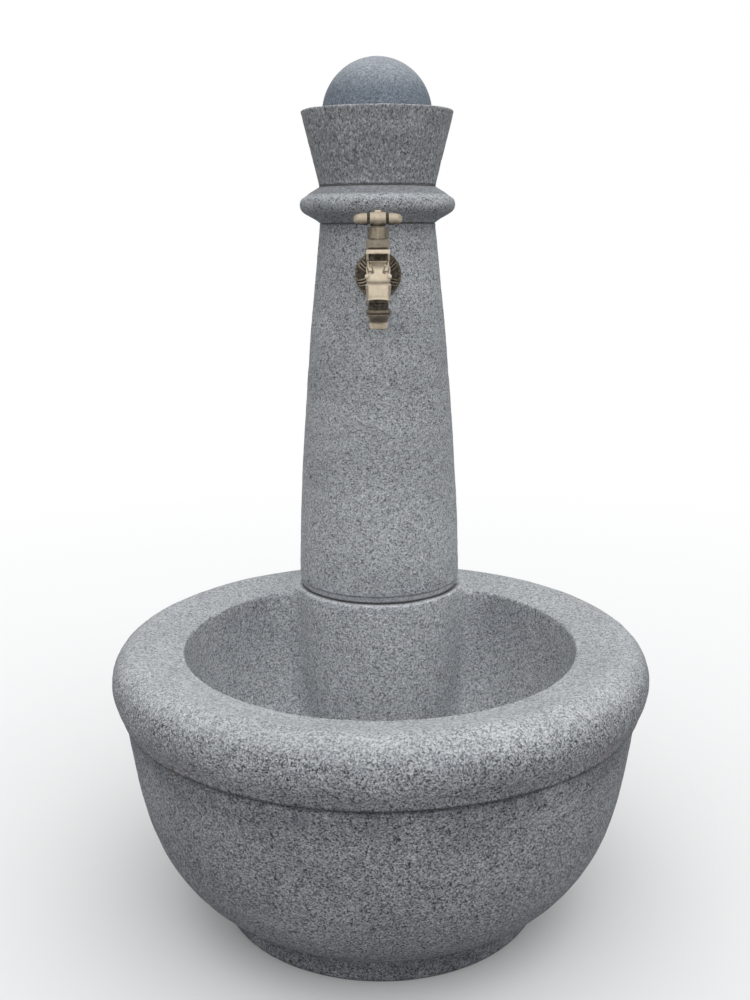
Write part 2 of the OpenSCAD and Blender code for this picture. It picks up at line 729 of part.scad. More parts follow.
module gland_nut() color(brass) on_spindle() difference() {
    hex_bar(gland_corners, gland_z, gland_top_z);
    difference() {
        bar(gland_thread_r + thread_gap, gland_z - over, gland_z + gland_thread_h + 1);
        bar(packing_r - thread_gap, packing_z + packing_h, gland_top_z);
    }
    bar(spindle_r + run_gap, gland_z - over, gland_top_z + over);
}

module spindle() color(brass) on_spindle() difference() {
    union() {
        bar(spindle_foot_r, spindle_foot_z, spindle_shoulder_z);
        bar(spindle_r, spindle_foot_z, spindle_top_z);
    }
    bar(jumper_stem_r + run_gap, spindle_foot_z - over, jumper_z + jumper_t + jumper_stem_h + 1);
    bar(screw_r + run_gap, screw_seat_z - screw_h - 1, spindle_top_z + over);
}

module jumper_valve() color(brass) on_spindle() {
    bar(valve_washer_r + 0.6, jumper_z, jumper_z + jumper_t);
    bar(jumper_stem_r, jumper_z, jumper_z + jumper_t + jumper_stem_h);
}

module valve_washer() color("#2b2b2b") on_spindle()
    bar(valve_washer_r, valve_seat_z, jumper_z);

// Half of the handle in section, from its middle out along the arm
module tap_handle() color(brass) difference() {
    arm = handle_w / 2;
    hub = handle_hub_w / 2;
    end = arm - handle_end_r;
    half = concat([[hub - 2, handle_hub_r], [hub, handle_hub_r - 1.6], [hub + 0.8, handle_arm_r - 1.2],
        [hub + 2.4, handle_arm_r]], arc([end, 0], handle_end_r, 60, 0, 5));
    on_spindle() translate([0, 0, handle_z]) rotate([0, 90, 0])
        turned(concat([[0, -arm]], [for (i = [len(half) - 2:-1:0]) [half[i][1], -half[i][0]]],
            [for (i = [0:len(half) - 1]) [half[i][1], half[i][0]]]));
    on_spindle() {
        bar(spindle_r + run_gap, handle_z - handle_hub_r - over, spindle_top_z);
        bar(screw_r + run_gap, handle_z, handle_z + handle_hub_r + over);
        bar(screw_head_r + 0.3, screw_seat_z, handle_z + handle_hub_r + over);
    }
}

module handle_screw() color(brass) on_spindle() difference() {
    union() {
        bar(screw_r, screw_seat_z - screw_h, screw_seat_z);
        bar(screw_head_r, screw_seat_z, screw_seat_z + 2);
        translate([0, 0, screw_seat_z + 2]) cylinder(r1 = screw_head_r, r2 = screw_head_r - 0.8, h = 0.6);
    }
    translate([-screw_head_r - 1, -0.5, screw_seat_z + 1.6]) cube([2 * screw_head_r + 2, 1, 2]);
}

module hose_nozzle() color(bronze) on_spout() difference() {
    turned([[0, nozzle_end_z], [nozzle_end_r, nozzle_end_z], [nozzle_end_r, nozzle_taper_z],
        [nozzle_end_r + 0.3, nozzle_taper_z], [nozzle_taper_r, nozzle_ring_z],
        [nozzle_ring_r - 0.9, nozzle_ring_z], [nozzle_ring_r - 0.2, nozzle_ring_z + 2.8],
        [nozzle_ring_r - 0.8, nozzle_ring_z + 3.2], [nozzle_ring_r, nozzle_ring_z + 4],
        [nozzle_ring_r, nozzle_ring_z + nozzle_step_h], [nozzle_neck_r, nozzle_ring_z + nozzle_step_h],
        [nozzle_neck_r, spout_mouth_z - 0.5], [nozzle_thread_r, spout_mouth_z - 0.5],
        [nozzle_thread_r, spout_mouth_z + nozzle_thread_h], [0, spout_mouth_z + nozzle_thread_h]]);
    bar(nozzle_bore_r, nozzle_end_z - over, spout_mouth_z + nozzle_thread_h + over);
}

module nozzle_washer() color("#2b2b2b") on_spout()
    ring(nozzle_thread_r, nozzle_bore_r, spout_mouth_z + nozzle_thread_h,
        spout_mouth_z + nozzle_thread_h + 2);

module waste_body() color(brass) difference() {
    union() {
        bar(waste_flange_r, flange_z, flange_top_z);
        bar(waste_r, waste_tail_top_z, flange_z + eps);
        bar(waste_tail_r, waste_end_z, waste_tail_top_z + eps);
    }
    bar(waste_bore_r, waste_end_z - over, flange_top_z + over);
    bar(grate_seat_r, flange_top_z - grate_t, flange_top_z + over);
}

module waste_grate() color(brass) difference() {
    bar(grate_seat_r - run_gap, flange_top_z - grate_t, flange_top_z);
    for (k = [1:grate_rings], i = [0:6 * k - 1]) rotate(i * 60 / k)
        translate([grate_rim_r * k / grate_rings, 0, 0])
            bar(grate_hole_r, flange_z, flange_top_z + over);
    bar(grate_hole_r, flange_z, flange_top_z + over);
}

module waste_gasket() color("#2b2b2b")
    ring(waste_flange_r, waste_r, gasket_z, flange_z);

module waste_back_washer() color("#2b2b2b")
    ring(waste_r + back_washer_w, waste_r, back_washer_z, recess_h);

module waste_locknut() color(brass) difference() {
    hex_bar(locknut_corners, locknut_z, back_washer_z);
    bar(waste_r + thread_gap, locknut_z - over, back_washer_z + over);
}

basin();
column_shaft();
collar();
capital();
ball_finial();
base_bed();
collar_bed();
capital_bed();
ball_bed();
base_dowels();
head_dowel();
ball_dowel();
supply_pipe();
pipe_grommet();
inlet_union();
compression_olive();
compression_nut();
wall_elbow();
extension_washer();
tap_extension();
tap_rosette();
tap_body();
bonnet_washer();
bonnet();
gland_packing();
gland_nut();
spindle();
jumper_valve();
valve_washer();
tap_handle();
handle_screw();
hose_nozzle();
nozzle_washer();
waste_body();
waste_grate();
waste_gasket();
waste_back_washer();
waste_locknut();
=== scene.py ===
"""The looks of a stone garden fountain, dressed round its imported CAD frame.

A round granite basin carries a tapering column with a collar, a capital and a ball, and an aged
brass bib tap reaches out of the column over the bowl. All sizes in the classes are in millimetres,
in the frame of the CAD model: the basin's axis is the z axis, and the front is towards -y.
"""

from __future__ import annotations

import json
import logging
import math
from dataclasses import dataclass, field
from enum import Enum
from typing import Callable, Sequence

import bpy
import numpy as np
from mathutils import Matrix, Vector


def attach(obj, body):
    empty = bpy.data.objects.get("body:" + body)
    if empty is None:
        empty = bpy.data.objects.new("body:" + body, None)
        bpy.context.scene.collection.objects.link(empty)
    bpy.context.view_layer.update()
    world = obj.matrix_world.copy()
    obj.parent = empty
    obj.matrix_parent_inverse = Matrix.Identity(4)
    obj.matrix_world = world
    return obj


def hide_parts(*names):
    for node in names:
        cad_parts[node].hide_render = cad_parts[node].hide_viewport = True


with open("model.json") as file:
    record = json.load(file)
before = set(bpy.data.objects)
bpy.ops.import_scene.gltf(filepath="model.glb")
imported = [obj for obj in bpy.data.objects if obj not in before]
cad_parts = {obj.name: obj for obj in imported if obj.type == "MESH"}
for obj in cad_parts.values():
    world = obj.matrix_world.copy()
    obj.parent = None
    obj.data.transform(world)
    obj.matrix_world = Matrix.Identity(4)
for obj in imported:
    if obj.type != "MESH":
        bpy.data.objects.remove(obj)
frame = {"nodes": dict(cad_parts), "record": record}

MM = 0.001
FULL_TURN = 2.0 * math.pi
HASH_PRIMES = (73856093, 19349663, 83492791)
SEED_PRIME = 2654435
MIX_PRIME = 1274126177
HASH_BITS = 0x7FFFFFFF
Array = np.ndarray
Colour = tuple[float, float, float]
Object = bpy.types.Object
Material = bpy.types.Material
Node = bpy.types.Node
Socket = bpy.types.NodeSocket
Value = Socket | float | Sequence[float]

log = logging.getLogger("fountain")


class Body(Enum):
    """The CAD bodies that the pieces ride on."""

    FOUNTAIN = "fountain"
    HANDLE = "handle"


class Slot(Enum):
    """The record's material slots."""

    HAMMERED = "bush_hammered_granite"
    SMOOTH = "smooth_granite"
    MORTAR = "mortar"
    STEEL = "dowel_steel"
    COPPER = "copper_pipe"
    BRASS = "plain_brass"
    RUBBER = "rubber"
    FIBRE = "red_fibre"
    YARN = "packing_yarn"
    AGED = "aged_brass"
    BRONZE = "dark_bronze"


def rise(value: Array | float, low: float, high: float) -> Array:
    """Rises from 0 at low to 1 at high along 3t^2 - 2t^3; low may lie above high.

    Args:
        value: The values to weigh.
        low: Where the weight is 0.
        high: Where the weight is 1.

    Returns:
        The weights, in the values' shape.
    """
    t = np.clip((np.asarray(value, float) - low) / (high - low), 0.0, 1.0)
    return t * t * (3.0 - 2.0 * t)


def between(value: Array, low: float, full: float, fade: float, high: float) -> Array:
    """Rises from low to full, and falls again from fade to high."""
    return rise(value, low, full) * rise(value, high, fade)


def bell(value: Array, middle: float, width: float) -> Array:
    """The bell curve exp(-((value - middle) / width)^2)."""
    return np.exp(-(((value - middle) / width) ** 2))


def soft_least(a: Array, b: Array, width: Array | float) -> Array:
    """The smaller of two distances, with the crease between them rounded.

    The rounding takes h^2 width / 4 off the smaller one, where h is (width - |a - b|) / width
    and never below 0.

    Args:
        a: The first distances.
        b: The second distances.
        width: How far apart the two may be and still blend.

    Returns:
        The blended distances.
    """
    h = np.maximum(width - np.abs(a - b), 0.0) / width
    return np.minimum(a, b) - h * h * width / 4.0


def lattice_noise(points: Array, size: float, seed: int = 0) -> Array:
    """Smooth noise between -1 and 1 that is the same on each run.

    Each corner of a cube lattice gets a number from an integer hash of its place, and the eight
    corners round a point are blended with the weight 6t^5 - 15t^4 + 10t^3 along each axis.

    Args:
        points: Places in millimetres, with x, y and z last.
        size: The lattice's pitch in millimetres.
        seed: Chooses another pattern.

    Returns:
        One number for each point.
    """
    q = points / size + 17.31 * (seed + 1)
    cell = np.floor(q).astype(np.int64)
    f = q - cell
    w = f * f * f * (f * (f * 6.0 - 15.0) + 10.0)
    total = np.zeros(points.shape[:-1])
    for corner in np.ndindex(2, 2, 2):
        key = np.bitwise_xor.reduce((cell + np.array(corner)) * np.array(HASH_PRIMES), axis=-1)
        key = (key ^ (seed + 11) * SEED_PRIME) & HASH_BITS
        key = ((key ^ (key >> 13)) * MIX_PRIME) & HASH_BITS
        value = ((key ^ (key >> 16)) & 0xFFFF) / 32767.5 - 1.0
        total += value * np.where(corner, w, 1.0 - w).prod(-1)
    return total


def arc(cx: float, cz: float, r: float, start: float, stop: float, count: int) -> Array:
    """Points on an arc in a profile's plane: the centre plus r times cosine and sine.

    Args:
        cx: The centre's distance from the axis.
        cz: The centre's height.
        r: The arc's radius.
        start: The first angle in degrees.
        stop: The last angle in degrees.
        count: The number of points.

    Returns:
        The points, count by 2.
    """
    t = np.radians(np.linspace(start, stop, count))
    return np.stack([cx + r * np.cos(t), cz + r * np.sin(t)], 1)


def line(x0: float, z0: float, x1: float, z1: float, count: int) -> Array:
    """Evenly spaced points on a straight line in a profile's plane, count by 2."""
    return np.stack([np.linspace(x0, x1, count), np.linspace(z0, z1, count)], 1)


def outline(*parts: Array | Sequence[Sequence[float]]) -> Array:
    """One profile from its stretches in order."""
    return np.concatenate([np.asarray(part, float) for part in parts])


def run_along(path: Array) -> Array:
    """How far each point of a polyline lies along it."""
    return np.concatenate([[0.0], np.cumsum(np.linalg.norm(np.diff(path, axis=0), axis=1))])


def even(path: Array, step: float) -> Array:
    """The same polyline with its points at even distances along it.

    Args:
        path: The points, n by any number of axes.
        step: About how far apart the new points lie.

    Returns:
        The new points, with both ends kept.
    """
    run = run_along(path)
    at = np.linspace(0.0, run[-1], max(2, int(round(run[-1] / step)) + 1))
    return np.stack([np.interp(at, run, path[:, i]) for i in range(path.shape[1])], 1)


def around(count: int) -> Array:
    """Even angles round a full turn, without its end."""
    return np.linspace(0.0, FULL_TURN, count, endpoint=False)


def turned(profile: Array, angles: Array, x: float = 0.0, y: float = 0.0) -> Array:
    """A surface of revolution round an upright axis: each profile point goes round a circle.

    Args:
        profile: Radius and height of each row, n by 2.
        angles: The columns' angles, counted from the front.
        x: The axis's place across.
        y: The axis's place in depth.

    Returns:
        The net of points, rows by columns by 3.
    """
    r, z = profile[:, :1], profile[:, 1:]
    return np.stack([x + r * np.sin(angles), y - r * np.cos(angles), z + 0.0 * angles], 2)


def swept(path: Array, radii: Array, count: int) -> Array:
    """A round tube along a path that lies in an upright plane from front to back.

    At each path point the circle is spanned by the x direction and by its cross product with the
    path's direction.

    Args:
        path: The points of the middle line, n by 3.
        radii: The tube's radius at each point.
        count: The number of columns round the tube.

    Returns:
        The net of points, n by count by 3.
    """
    run = np.gradient(path, axis=0)
    run /= np.linalg.norm(run, axis=1, keepdims=True)
    side = np.broadcast_to(np.array([1.0, 0.0, 0.0]), run.shape)
    over = np.cross(side, run)
    over /= np.linalg.norm(over, axis=1, keepdims=True)
    a = around(count)[None, :, None]
    wide, deep = ((way * radii[:, None])[:, None] for way in (side, over))
    return path[:, None] + np.cos(a) * wide + np.sin(a) * deep


def net_normals(net: Array, closed: bool) -> Array:
    """Unit normals of a net that is closed round its columns.

    Each is the cross product of the differences to the neighbours along a row and along a column.

    Args:
        net: The points, rows by columns by 3.
        closed: Whether the last row meets the first one.

    Returns:
        The normals, in the net's shape.
    """
    along = np.roll(net, -1, 1) - np.roll(net, 1, 1)
    down = np.roll(net, -1, 0) - np.roll(net, 1, 0) if closed else np.gradient(net, axis=0)
    n = np.cross(along, down)
    return n / np.maximum(np.linalg.norm(n, axis=2, keepdims=True), 1e-9)


@dataclass
class Form:
    """Collects the surfaces of one piece and makes one mesh object of them."""

    name: str
    points: list[Array] = field(default_factory=list)
    faces: list[list[int]] = field(default_factory=list)
    size: int = 0

    def add(self, net: Array, closed: bool = False) -> "Form":
        """Adds a net that is closed round its columns, with its faces outwards.

        The four corners of each face are a point, its neighbour along the row, and the same two
        in the next row. An open net gets a fan of triangles to the middle of each end row. If the
        sum of the triple products of all faces is negative, every face is turned over.

        Args:
            net: The points, rows by columns by 3, in millimetres.
            closed: Whether the last row meets the first one.

        Returns:
            The form itself, so that calls can be chained.
        """
        rows, columns = net.shape[:2]
        points = net.reshape(-1, 3)
        index = np.arange(rows * columns).reshape(rows, columns)
        low = index if closed else index[:-1]
        high = np.roll(index, -1, 0) if closed else index[1:]
        quads = np.stack([low, np.roll(low, -1, 1), np.roll(high, -1, 1), high], 2).reshape(-1, 4)
        triples = np.zeros((0, 3), int)
        if not closed:
            middles = np.stack([net[0].mean(0), net[-1].mean(0)])
            first, last = index[0], index[-1]
            start = np.stack([np.roll(first, -1), first, np.full(columns, rows * columns)], 1)
            end = np.stack([last, np.roll(last, -1), np.full(columns, rows * columns + 1)], 1)
            points, triples = np.concatenate([points, middles]), np.concatenate([start, end])
        p, t = points[quads], points[triples]
        volume = sum(
            np.einsum("ij,ij->", corners[:, 0], np.cross(corners[:, i], corners[:, i + 1]))
            for corners, i in ((p, 1), (p, 2), (t, 1))
        )
        if volume < 0:
            quads, triples = quads[:, ::-1], triples[:, ::-1]
        self.points.append(points)
        self.faces += (quads + self.size).tolist() + (triples + self.size).tolist()
        self.size += len(points)
        return self

    def build(self) -> Object:
        """Makes the mesh object at the origin, with its place in its mesh, in metres.

        Returns:
            The mesh object.
        """
        mesh = bpy.data.meshes.new(self.name)
        mesh.from_pydata((np.concatenate(self.points) * MM).tolist(), [], self.faces)
        mesh.polygons.foreach_set("use_smooth", [True] * len(mesh.polygons))
        mesh.update()
        obj = bpy.data.objects.new(self.name, mesh)
        bpy.context.scene.collection.objects.link(obj)
        return obj


def settle(obj: Object) -> None:
    """Replaces an object's mesh by what its modifiers make of it, and removes them.

    Args:
        obj: The mesh object.
    """
    mesh = bpy.data.meshes.new_from_object(obj.evaluated_get(bpy.context.evaluated_depsgraph_get()))
    obj.modifiers.clear()
    old, obj.data = obj.data, mesh
    bpy.data.meshes.remove(old)
    mesh.name = obj.name
    mesh.polygons.foreach_set("use_smooth", [True] * len(mesh.polygons))


def cut(obj: Object, tool: Object) -> None:
    """Takes one closed mesh out of another and removes the tool.

    Args:
        obj: The mesh object.
        tool: The mesh that is taken out and removed.
    """
    modifier = obj.modifiers.new("cut", "BOOLEAN")
    modifier.operation, modifier.object, modifier.solver = "DIFFERENCE", tool, "EXACT"
    settle(obj)
    bpy.data.objects.remove(tool)


def vertex_arrays(obj: Object) -> tuple[Array, Array]:
    """The places in millimetres and the unit normals of a mesh's vertices, each n by 3.

    Args:
        obj: The mesh object.

    Returns:
        The places and the normals.
    """
    count = len(obj.data.vertices)
    places, normals = np.empty(count * 3), np.empty(count * 3)
    obj.data.vertices.foreach_get("co", places)
    obj.data.vertices.foreach_get("normal", normals)
    return places.reshape(-1, 3) / MM, normals.reshape(-1, 3)


def store(obj: Object, name: str, values: Array) -> None:
    """Writes one number for each vertex into the mesh's own attribute of that name."""
    layer = obj.data.attributes.new(name, "FLOAT", "POINT")
    layer.data.foreach_set("value", np.clip(values, 0.0, 1.0).astype(np.float32))


def hollows(obj: Object, rounds: int, scale: float) -> Array:
    """How far each vertex lies in a hollow, from 0 on open ground to 1.

    The height of the neighbours' mean above the vertex, along its normal, is found from the mesh's
    edges and spread over the neighbours a few times.

    Args:
        obj: A mesh with an even spread of vertices.
        rounds: How many times the result is spread.
        scale: The number that turns the height over the edge's length into the mask.

    Returns:
        One number for each vertex.
    """
    places, normals = vertex_arrays(obj)
    ends = np.empty(len(obj.data.edges) * 2, np.int64)
    obj.data.edges.foreach_get("vertices", ends)
    a, b = ends.reshape(-1, 2).T
    count = np.maximum(np.bincount(ends, minlength=len(places)), 1)

    def spread(values: Array) -> Array:
        """The mean of each vertex's neighbours."""
        total = np.bincount(a, values[b], len(places)) + np.bincount(b, values[a], len(places))
        return total / count

    mean = np.stack([spread(places[:, i]) for i in range(3)], 1)
    gap = np.linalg.norm(places[a] - places[b], axis=1).mean()
    bend = np.einsum("ij,ij->i", mean - places, normals) / gap
    for _ in range(rounds):
        bend = 0.4 * bend + 0.6 * spread(bend)
    return np.clip(bend * scale, 0.0, 1.0)


def finish_piece(obj: Object, material: Material, slot: Slot, body: Body, *nodes: str) -> Object:
    """Dresses a new piece, seats it on its body and hides the CAD nodes that it stands for.

    Args:
        obj: The piece.
        material: Its material.
        slot: The record's slot that the material answers to; not used.
        body: The CAD body that it rides on.
        *nodes: The CAD nodes that it replaces.

    Returns:
        The piece.
    """
    obj.data.materials.clear()
    obj.data.materials.append(material)
    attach(obj, body.value)
    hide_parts(*nodes)
    low, high = np.array(obj.bound_box).min(0) / MM, np.array(obj.bound_box).max(0) / MM
    faces = len(obj.data.polygons)
    log.info("%s: %d faces, %s to %s mm", obj.name, faces, low.round(1), high.round(1))
    return obj


@dataclass
class Board:
    """A short way to place and join the nodes of one tree."""

    tree: bpy.types.NodeTree

    def feed(self, node: Node, sockets: dict[str | int, Value]) -> None:
        """Joins or sets a node's inputs.

        Args:
            node: The node.
            sockets: The inputs by name or number, each a socket to join or a value.
        """
        for key, value in sockets.items():
            if isinstance(value, Socket):
                self.tree.links.new(value, node.inputs[key])
            else:
                node.inputs[key].default_value = value

    def add(self, kind: str, sockets: dict[str | int, Value] | None = None, **settings: object) -> Node:
        """Places a node, sets its options and feeds its inputs.

        Args:
            kind: The node's type, without the prefix that all shader nodes share.
            sockets: The inputs by name or number, each a socket to join or a value.
            **settings: The node's own options.

        Returns:
            The node.
        """
        node = self.tree.nodes.new("ShaderNode" + kind)
        for name, setting in settings.items():
            setattr(node, name, setting)
        self.feed(node, sockets or {})
        return node

    def math(self, operation: str, a: Value, b: Value = 0.0, clamp: bool = False) -> Socket:
        """The result of one sum on two values."""
        return self.add("Math", {0: a, 1: b}, operation=operation, use_clamp=clamp).outputs[0]

    def times(self, a: Value, b: Value, clamp: bool = False) -> Socket:
        """The product of two values."""
        return self.math("MULTIPLY", a, b, clamp)

    def plus(self, a: Value, b: Value, clamp: bool = False) -> Socket:
        """The sum of two values."""
        return self.math("ADD", a, b, clamp)

    def vector(self, operation: str, sockets: dict[str | int, Value], output: str = "Vector") -> Socket:
        """The result of one sum on vectors."""
        return self.add("VectorMath", sockets, operation=operation).outputs[output]

    def span(self, value: Value, low: float, high: float, start: float = 0.0, stop: float = 1.0) -> Socket:
        """A value mapped from low and high to start and stop, and kept between these."""
        sockets = {"Value": value, "From Min": low, "From Max": high, "To Min": start, "To Max": stop}
        return self.add("MapRange", sockets).outputs[0]

    def mix(self, share: Value, a: Value, b: Value, blend: str = "MIX") -> Socket:
        """Two colours mixed by a share between 0 and 1."""
        a, b = (v if isinstance(v, Socket) else (*v, 1.0)[:4] for v in (a, b))
        return self.add("Mix", {0: share, 6: a, 7: b}, data_type="RGBA", blend_type=blend).outputs[2]

    def noise(
        self, at: Socket, size: float, detail: float = 3.0, rough: float = 0.5, warp: float = 0.0
    ) -> Socket:
        """Fractal noise whose largest features are about size metres across."""
        sockets = {"Scale": 1.0 / size, "Detail": detail, "Roughness": rough, "Distortion": warp}
        return self.add("TexNoise", {"Vector": at, **sockets}).outputs["Fac"]

    def cells(self, at: Socket, scale: Value) -> Node:
        """A Voronoi pattern with scale cells to a metre."""
        return self.add("TexVoronoi", {"Vector": at, "Scale": scale}, feature="F1")

    def stretch(self, at: Socket, by: Sequence[float]) -> Socket:
        """Coordinates stretched along each axis."""
        return self.add("Mapping", {"Vector": at, "Scale": tuple(by)}).outputs[0]

    def attribute(self, name: str) -> Socket:
        """One of the mesh's own numbers."""
        return self.add("Attribute", attribute_name=name, attribute_type="GEOMETRY").outputs["Fac"]

    def place(self) -> Socket:
        """The object coordinates."""
        return self.add("TexCoord").outputs["Object"]

    def bump(self, height: Socket, strength: float, distance: float) -> Socket:
        """A normal from a height."""
        sockets = {"Height": height, "Strength": strength, "Distance": distance}
        return self.add("Bump", sockets).outputs["Normal"]


@dataclass(frozen=True)
class Effect:
    """A shader node group that is built once and placed many times.

    Its inputs are a place and one number, and its outputs are masks and heights.
    """

    name: str
    number: str
    usual: float
    outputs: tuple[str, ...]
    wire: Callable[[Board, Socket, Socket], dict[str, Socket]]

    def place(self, board: Board, at: Socket, number: float) -> dict[str, Socket]:
        """Places the group in a material, building it the first time.

        Args:
            board: The material's board.
            at: The coordinates.
            number: The group's number in this material.

        Returns:
            The group's outputs by name.
        """
        tree = bpy.data.node_groups.get(self.name) or self.make()
        node = board.add("Group", {"Place": at, self.number: number}, node_tree=tree)
        return {socket.name: socket for socket in node.outputs}

    def make(self) -> bpy.types.NodeTree:
        """Builds the group's tree with its sockets and its wiring.

        Returns:
            The tree.
        """
        tree = bpy.data.node_groups.new(self.name, "ShaderNodeTree")
        tree.interface.new_socket(name="Place", in_out="INPUT", socket_type="NodeSocketVector")
        number = tree.interface.new_socket(name=self.number, in_out="INPUT", socket_type="NodeSocketFloat")
        number.default_value = self.usual
        for name in self.outputs:
            tree.interface.new_socket(name=name, in_out="OUTPUT", socket_type="NodeSocketFloat")
        given = tree.nodes.new("NodeGroupInput").outputs
        made = self.wire(Board(tree), given["Place"], given[self.number])
        out = tree.nodes.new("NodeGroupOutput")
        for name, socket in made.items():
            tree.links.new(socket, out.inputs[name])
        return tree


def wire_grain(board: Board, at: Socket, size: Socket) -> dict[str, Socket]:
    """Granite's crystals: three sizes of cells, each cell with a tone of its own.

    Args:
        board: The group's board.
        at: The coordinates.
        size: About the size of the middle crystals.

    Returns:
        Masks for the dark mica, the light feldspar, a middle tone and large clouds.
    """
    wobble = board.add("TexNoise", {"Vector": at, "Scale": 420.0, "Detail": 1.0}).outputs["Color"]
    shift = board.vector("SUBTRACT", {0: wobble, 1: (0.5, 0.5, 0.5)})
    shift = board.vector("SCALE", {0: shift, "Scale": 0.0022})
    shifted = board.vector("ADD", {0: at, 1: shift})
    unit = board.math("DIVIDE", 1.0, size)

    def tone(factor: float) -> Socket:
        """The tone of each cell at one size."""
        colour = board.cells(shifted, board.times(unit, factor)).outputs["Color"]
        return board.add("SeparateColor", {0: colour}).outputs[0]

    coarse, fine, dust = tone(0.62), tone(1.0), tone(1.9)
    mica = board.times(board.span(fine, 0.27, 0.08), board.span(coarse, 0.95, 0.40))
    specks = board.times(board.span(dust, 0.20, 0.05), 0.85)
    sparks = board.times(board.span(dust, 0.86, 0.98), 0.6)
    return {
        "Dark": board.math("MAXIMUM", mica, specks),
        "Light": board.math("MAXIMUM", board.span(fine, 0.82, 0.97), sparks),
        "Body": board.plus(board.times(fine, 0.66), board.times(dust, 0.34)),
        "Cloud": board.noise(at, 0.07, 4.0, 0.55),
    }


def wire_hammer(board: Board, at: Socket, size: Socket) -> dict[str, Socket]:
    """The marks of the bush hammer: rows of small craters over a rough ground.

    Args:
        board: The group's board.
        at: The coordinates.
        size: About the size of one crater.

    Returns:
        The height of the dressed face and a mask of its pits.
    """
    unit = board.math("DIVIDE", 1.0, size)
    large = board.add("TexVoronoi", {"Vector": at, "Scale": unit, "Smoothness": 0.6}, feature="SMOOTH_F1")
    crater = board.span(large.outputs["Distance"], 0.0, 0.62)
    chips = board.span(board.cells(at, board.times(unit, 2.3)).outputs["Distance"], 0.0, 0.7)
    sockets = {"Vector": at, "Scale": board.times(unit, 0.55), "Detail": 5.0, "Roughness": 0.7}
    ground = board.add("TexNoise", sockets).outputs["Fac"]
    height = board.plus(board.times(crater, 0.5), board.times(chips, 0.25))
    height = board.plus(height, board.times(ground, 0.75))
    return {"Height": height, "Pits": board.span(height, 0.85, 0.5)}


def wire_ageing(board: Board, at: Socket, amount: Socket) -> dict[str, Socket]:
    """The ageing of metal: dull clouds, fine scratches and small spots.

    Args:
        board: The group's board.
        at: The coordinates.
        amount: How dull the clouds are.

    Returns:
        A mask of dull patches, a mask of spots and the height of the worn face.
    """
    cloud = board.span(board.noise(at, 0.012, 5.0, 0.6, 0.4), 0.35, 0.7)
    spots = board.span(board.cells(at, 625.0).outputs["Distance"], 0.32, 0.12)
    spots = board.times(spots, board.span(board.noise(at, 0.006, 2.0), 0.55, 0.75))
    scratch = board.noise(board.stretch(at, (1.0, 1.0, 6.0)), 0.0012, 3.0, 0.6)
    height = board.plus(board.times(scratch, 0.3), board.times(board.noise(at, 0.0025, 3.0), 0.7))
    return {"Dull": board.times(cloud, amount), "Spots": spots, "Height": height}


GRAIN = Effect("granite_grain", "Size", 0.003, ("Dark", "Light", "Body", "Cloud"), wire_grain)
HAMMER = Effect("bush_hammer_marks", "Size", 0.004, ("Height", "Pits"), wire_hammer)
AGEING = Effect("metal_ageing", "Amount", 1.0, ("Dull", "Spots", "Height"), wire_ageing)


def blank_board(owner: Material | bpy.types.World) -> Board:
    """Switches on the nodes of a material or a world and empties its tree.

    Args:
        owner: The material or the world.

    Returns:
        The board of its tree.
    """
    owner.use_nodes = True
    owner.node_tree.nodes.clear()
    return Board(owner.node_tree)


def new_material(name: str, metallic: float = 0.0) -> tuple[Material, Board, Node]:
    """Makes a material with one Principled shader.

    Args:
        name: The material's name.
        metallic: The shader's metallic value.

    Returns:
        The material, its board and the shader.
    """
    material = bpy.data.materials.new(name)
    board = blank_board(material)
    shader = board.add("BsdfPrincipled", {"Metallic": metallic})
    board.add("OutputMaterial", {"Surface": shader.outputs[0]})
    return material, board, shader


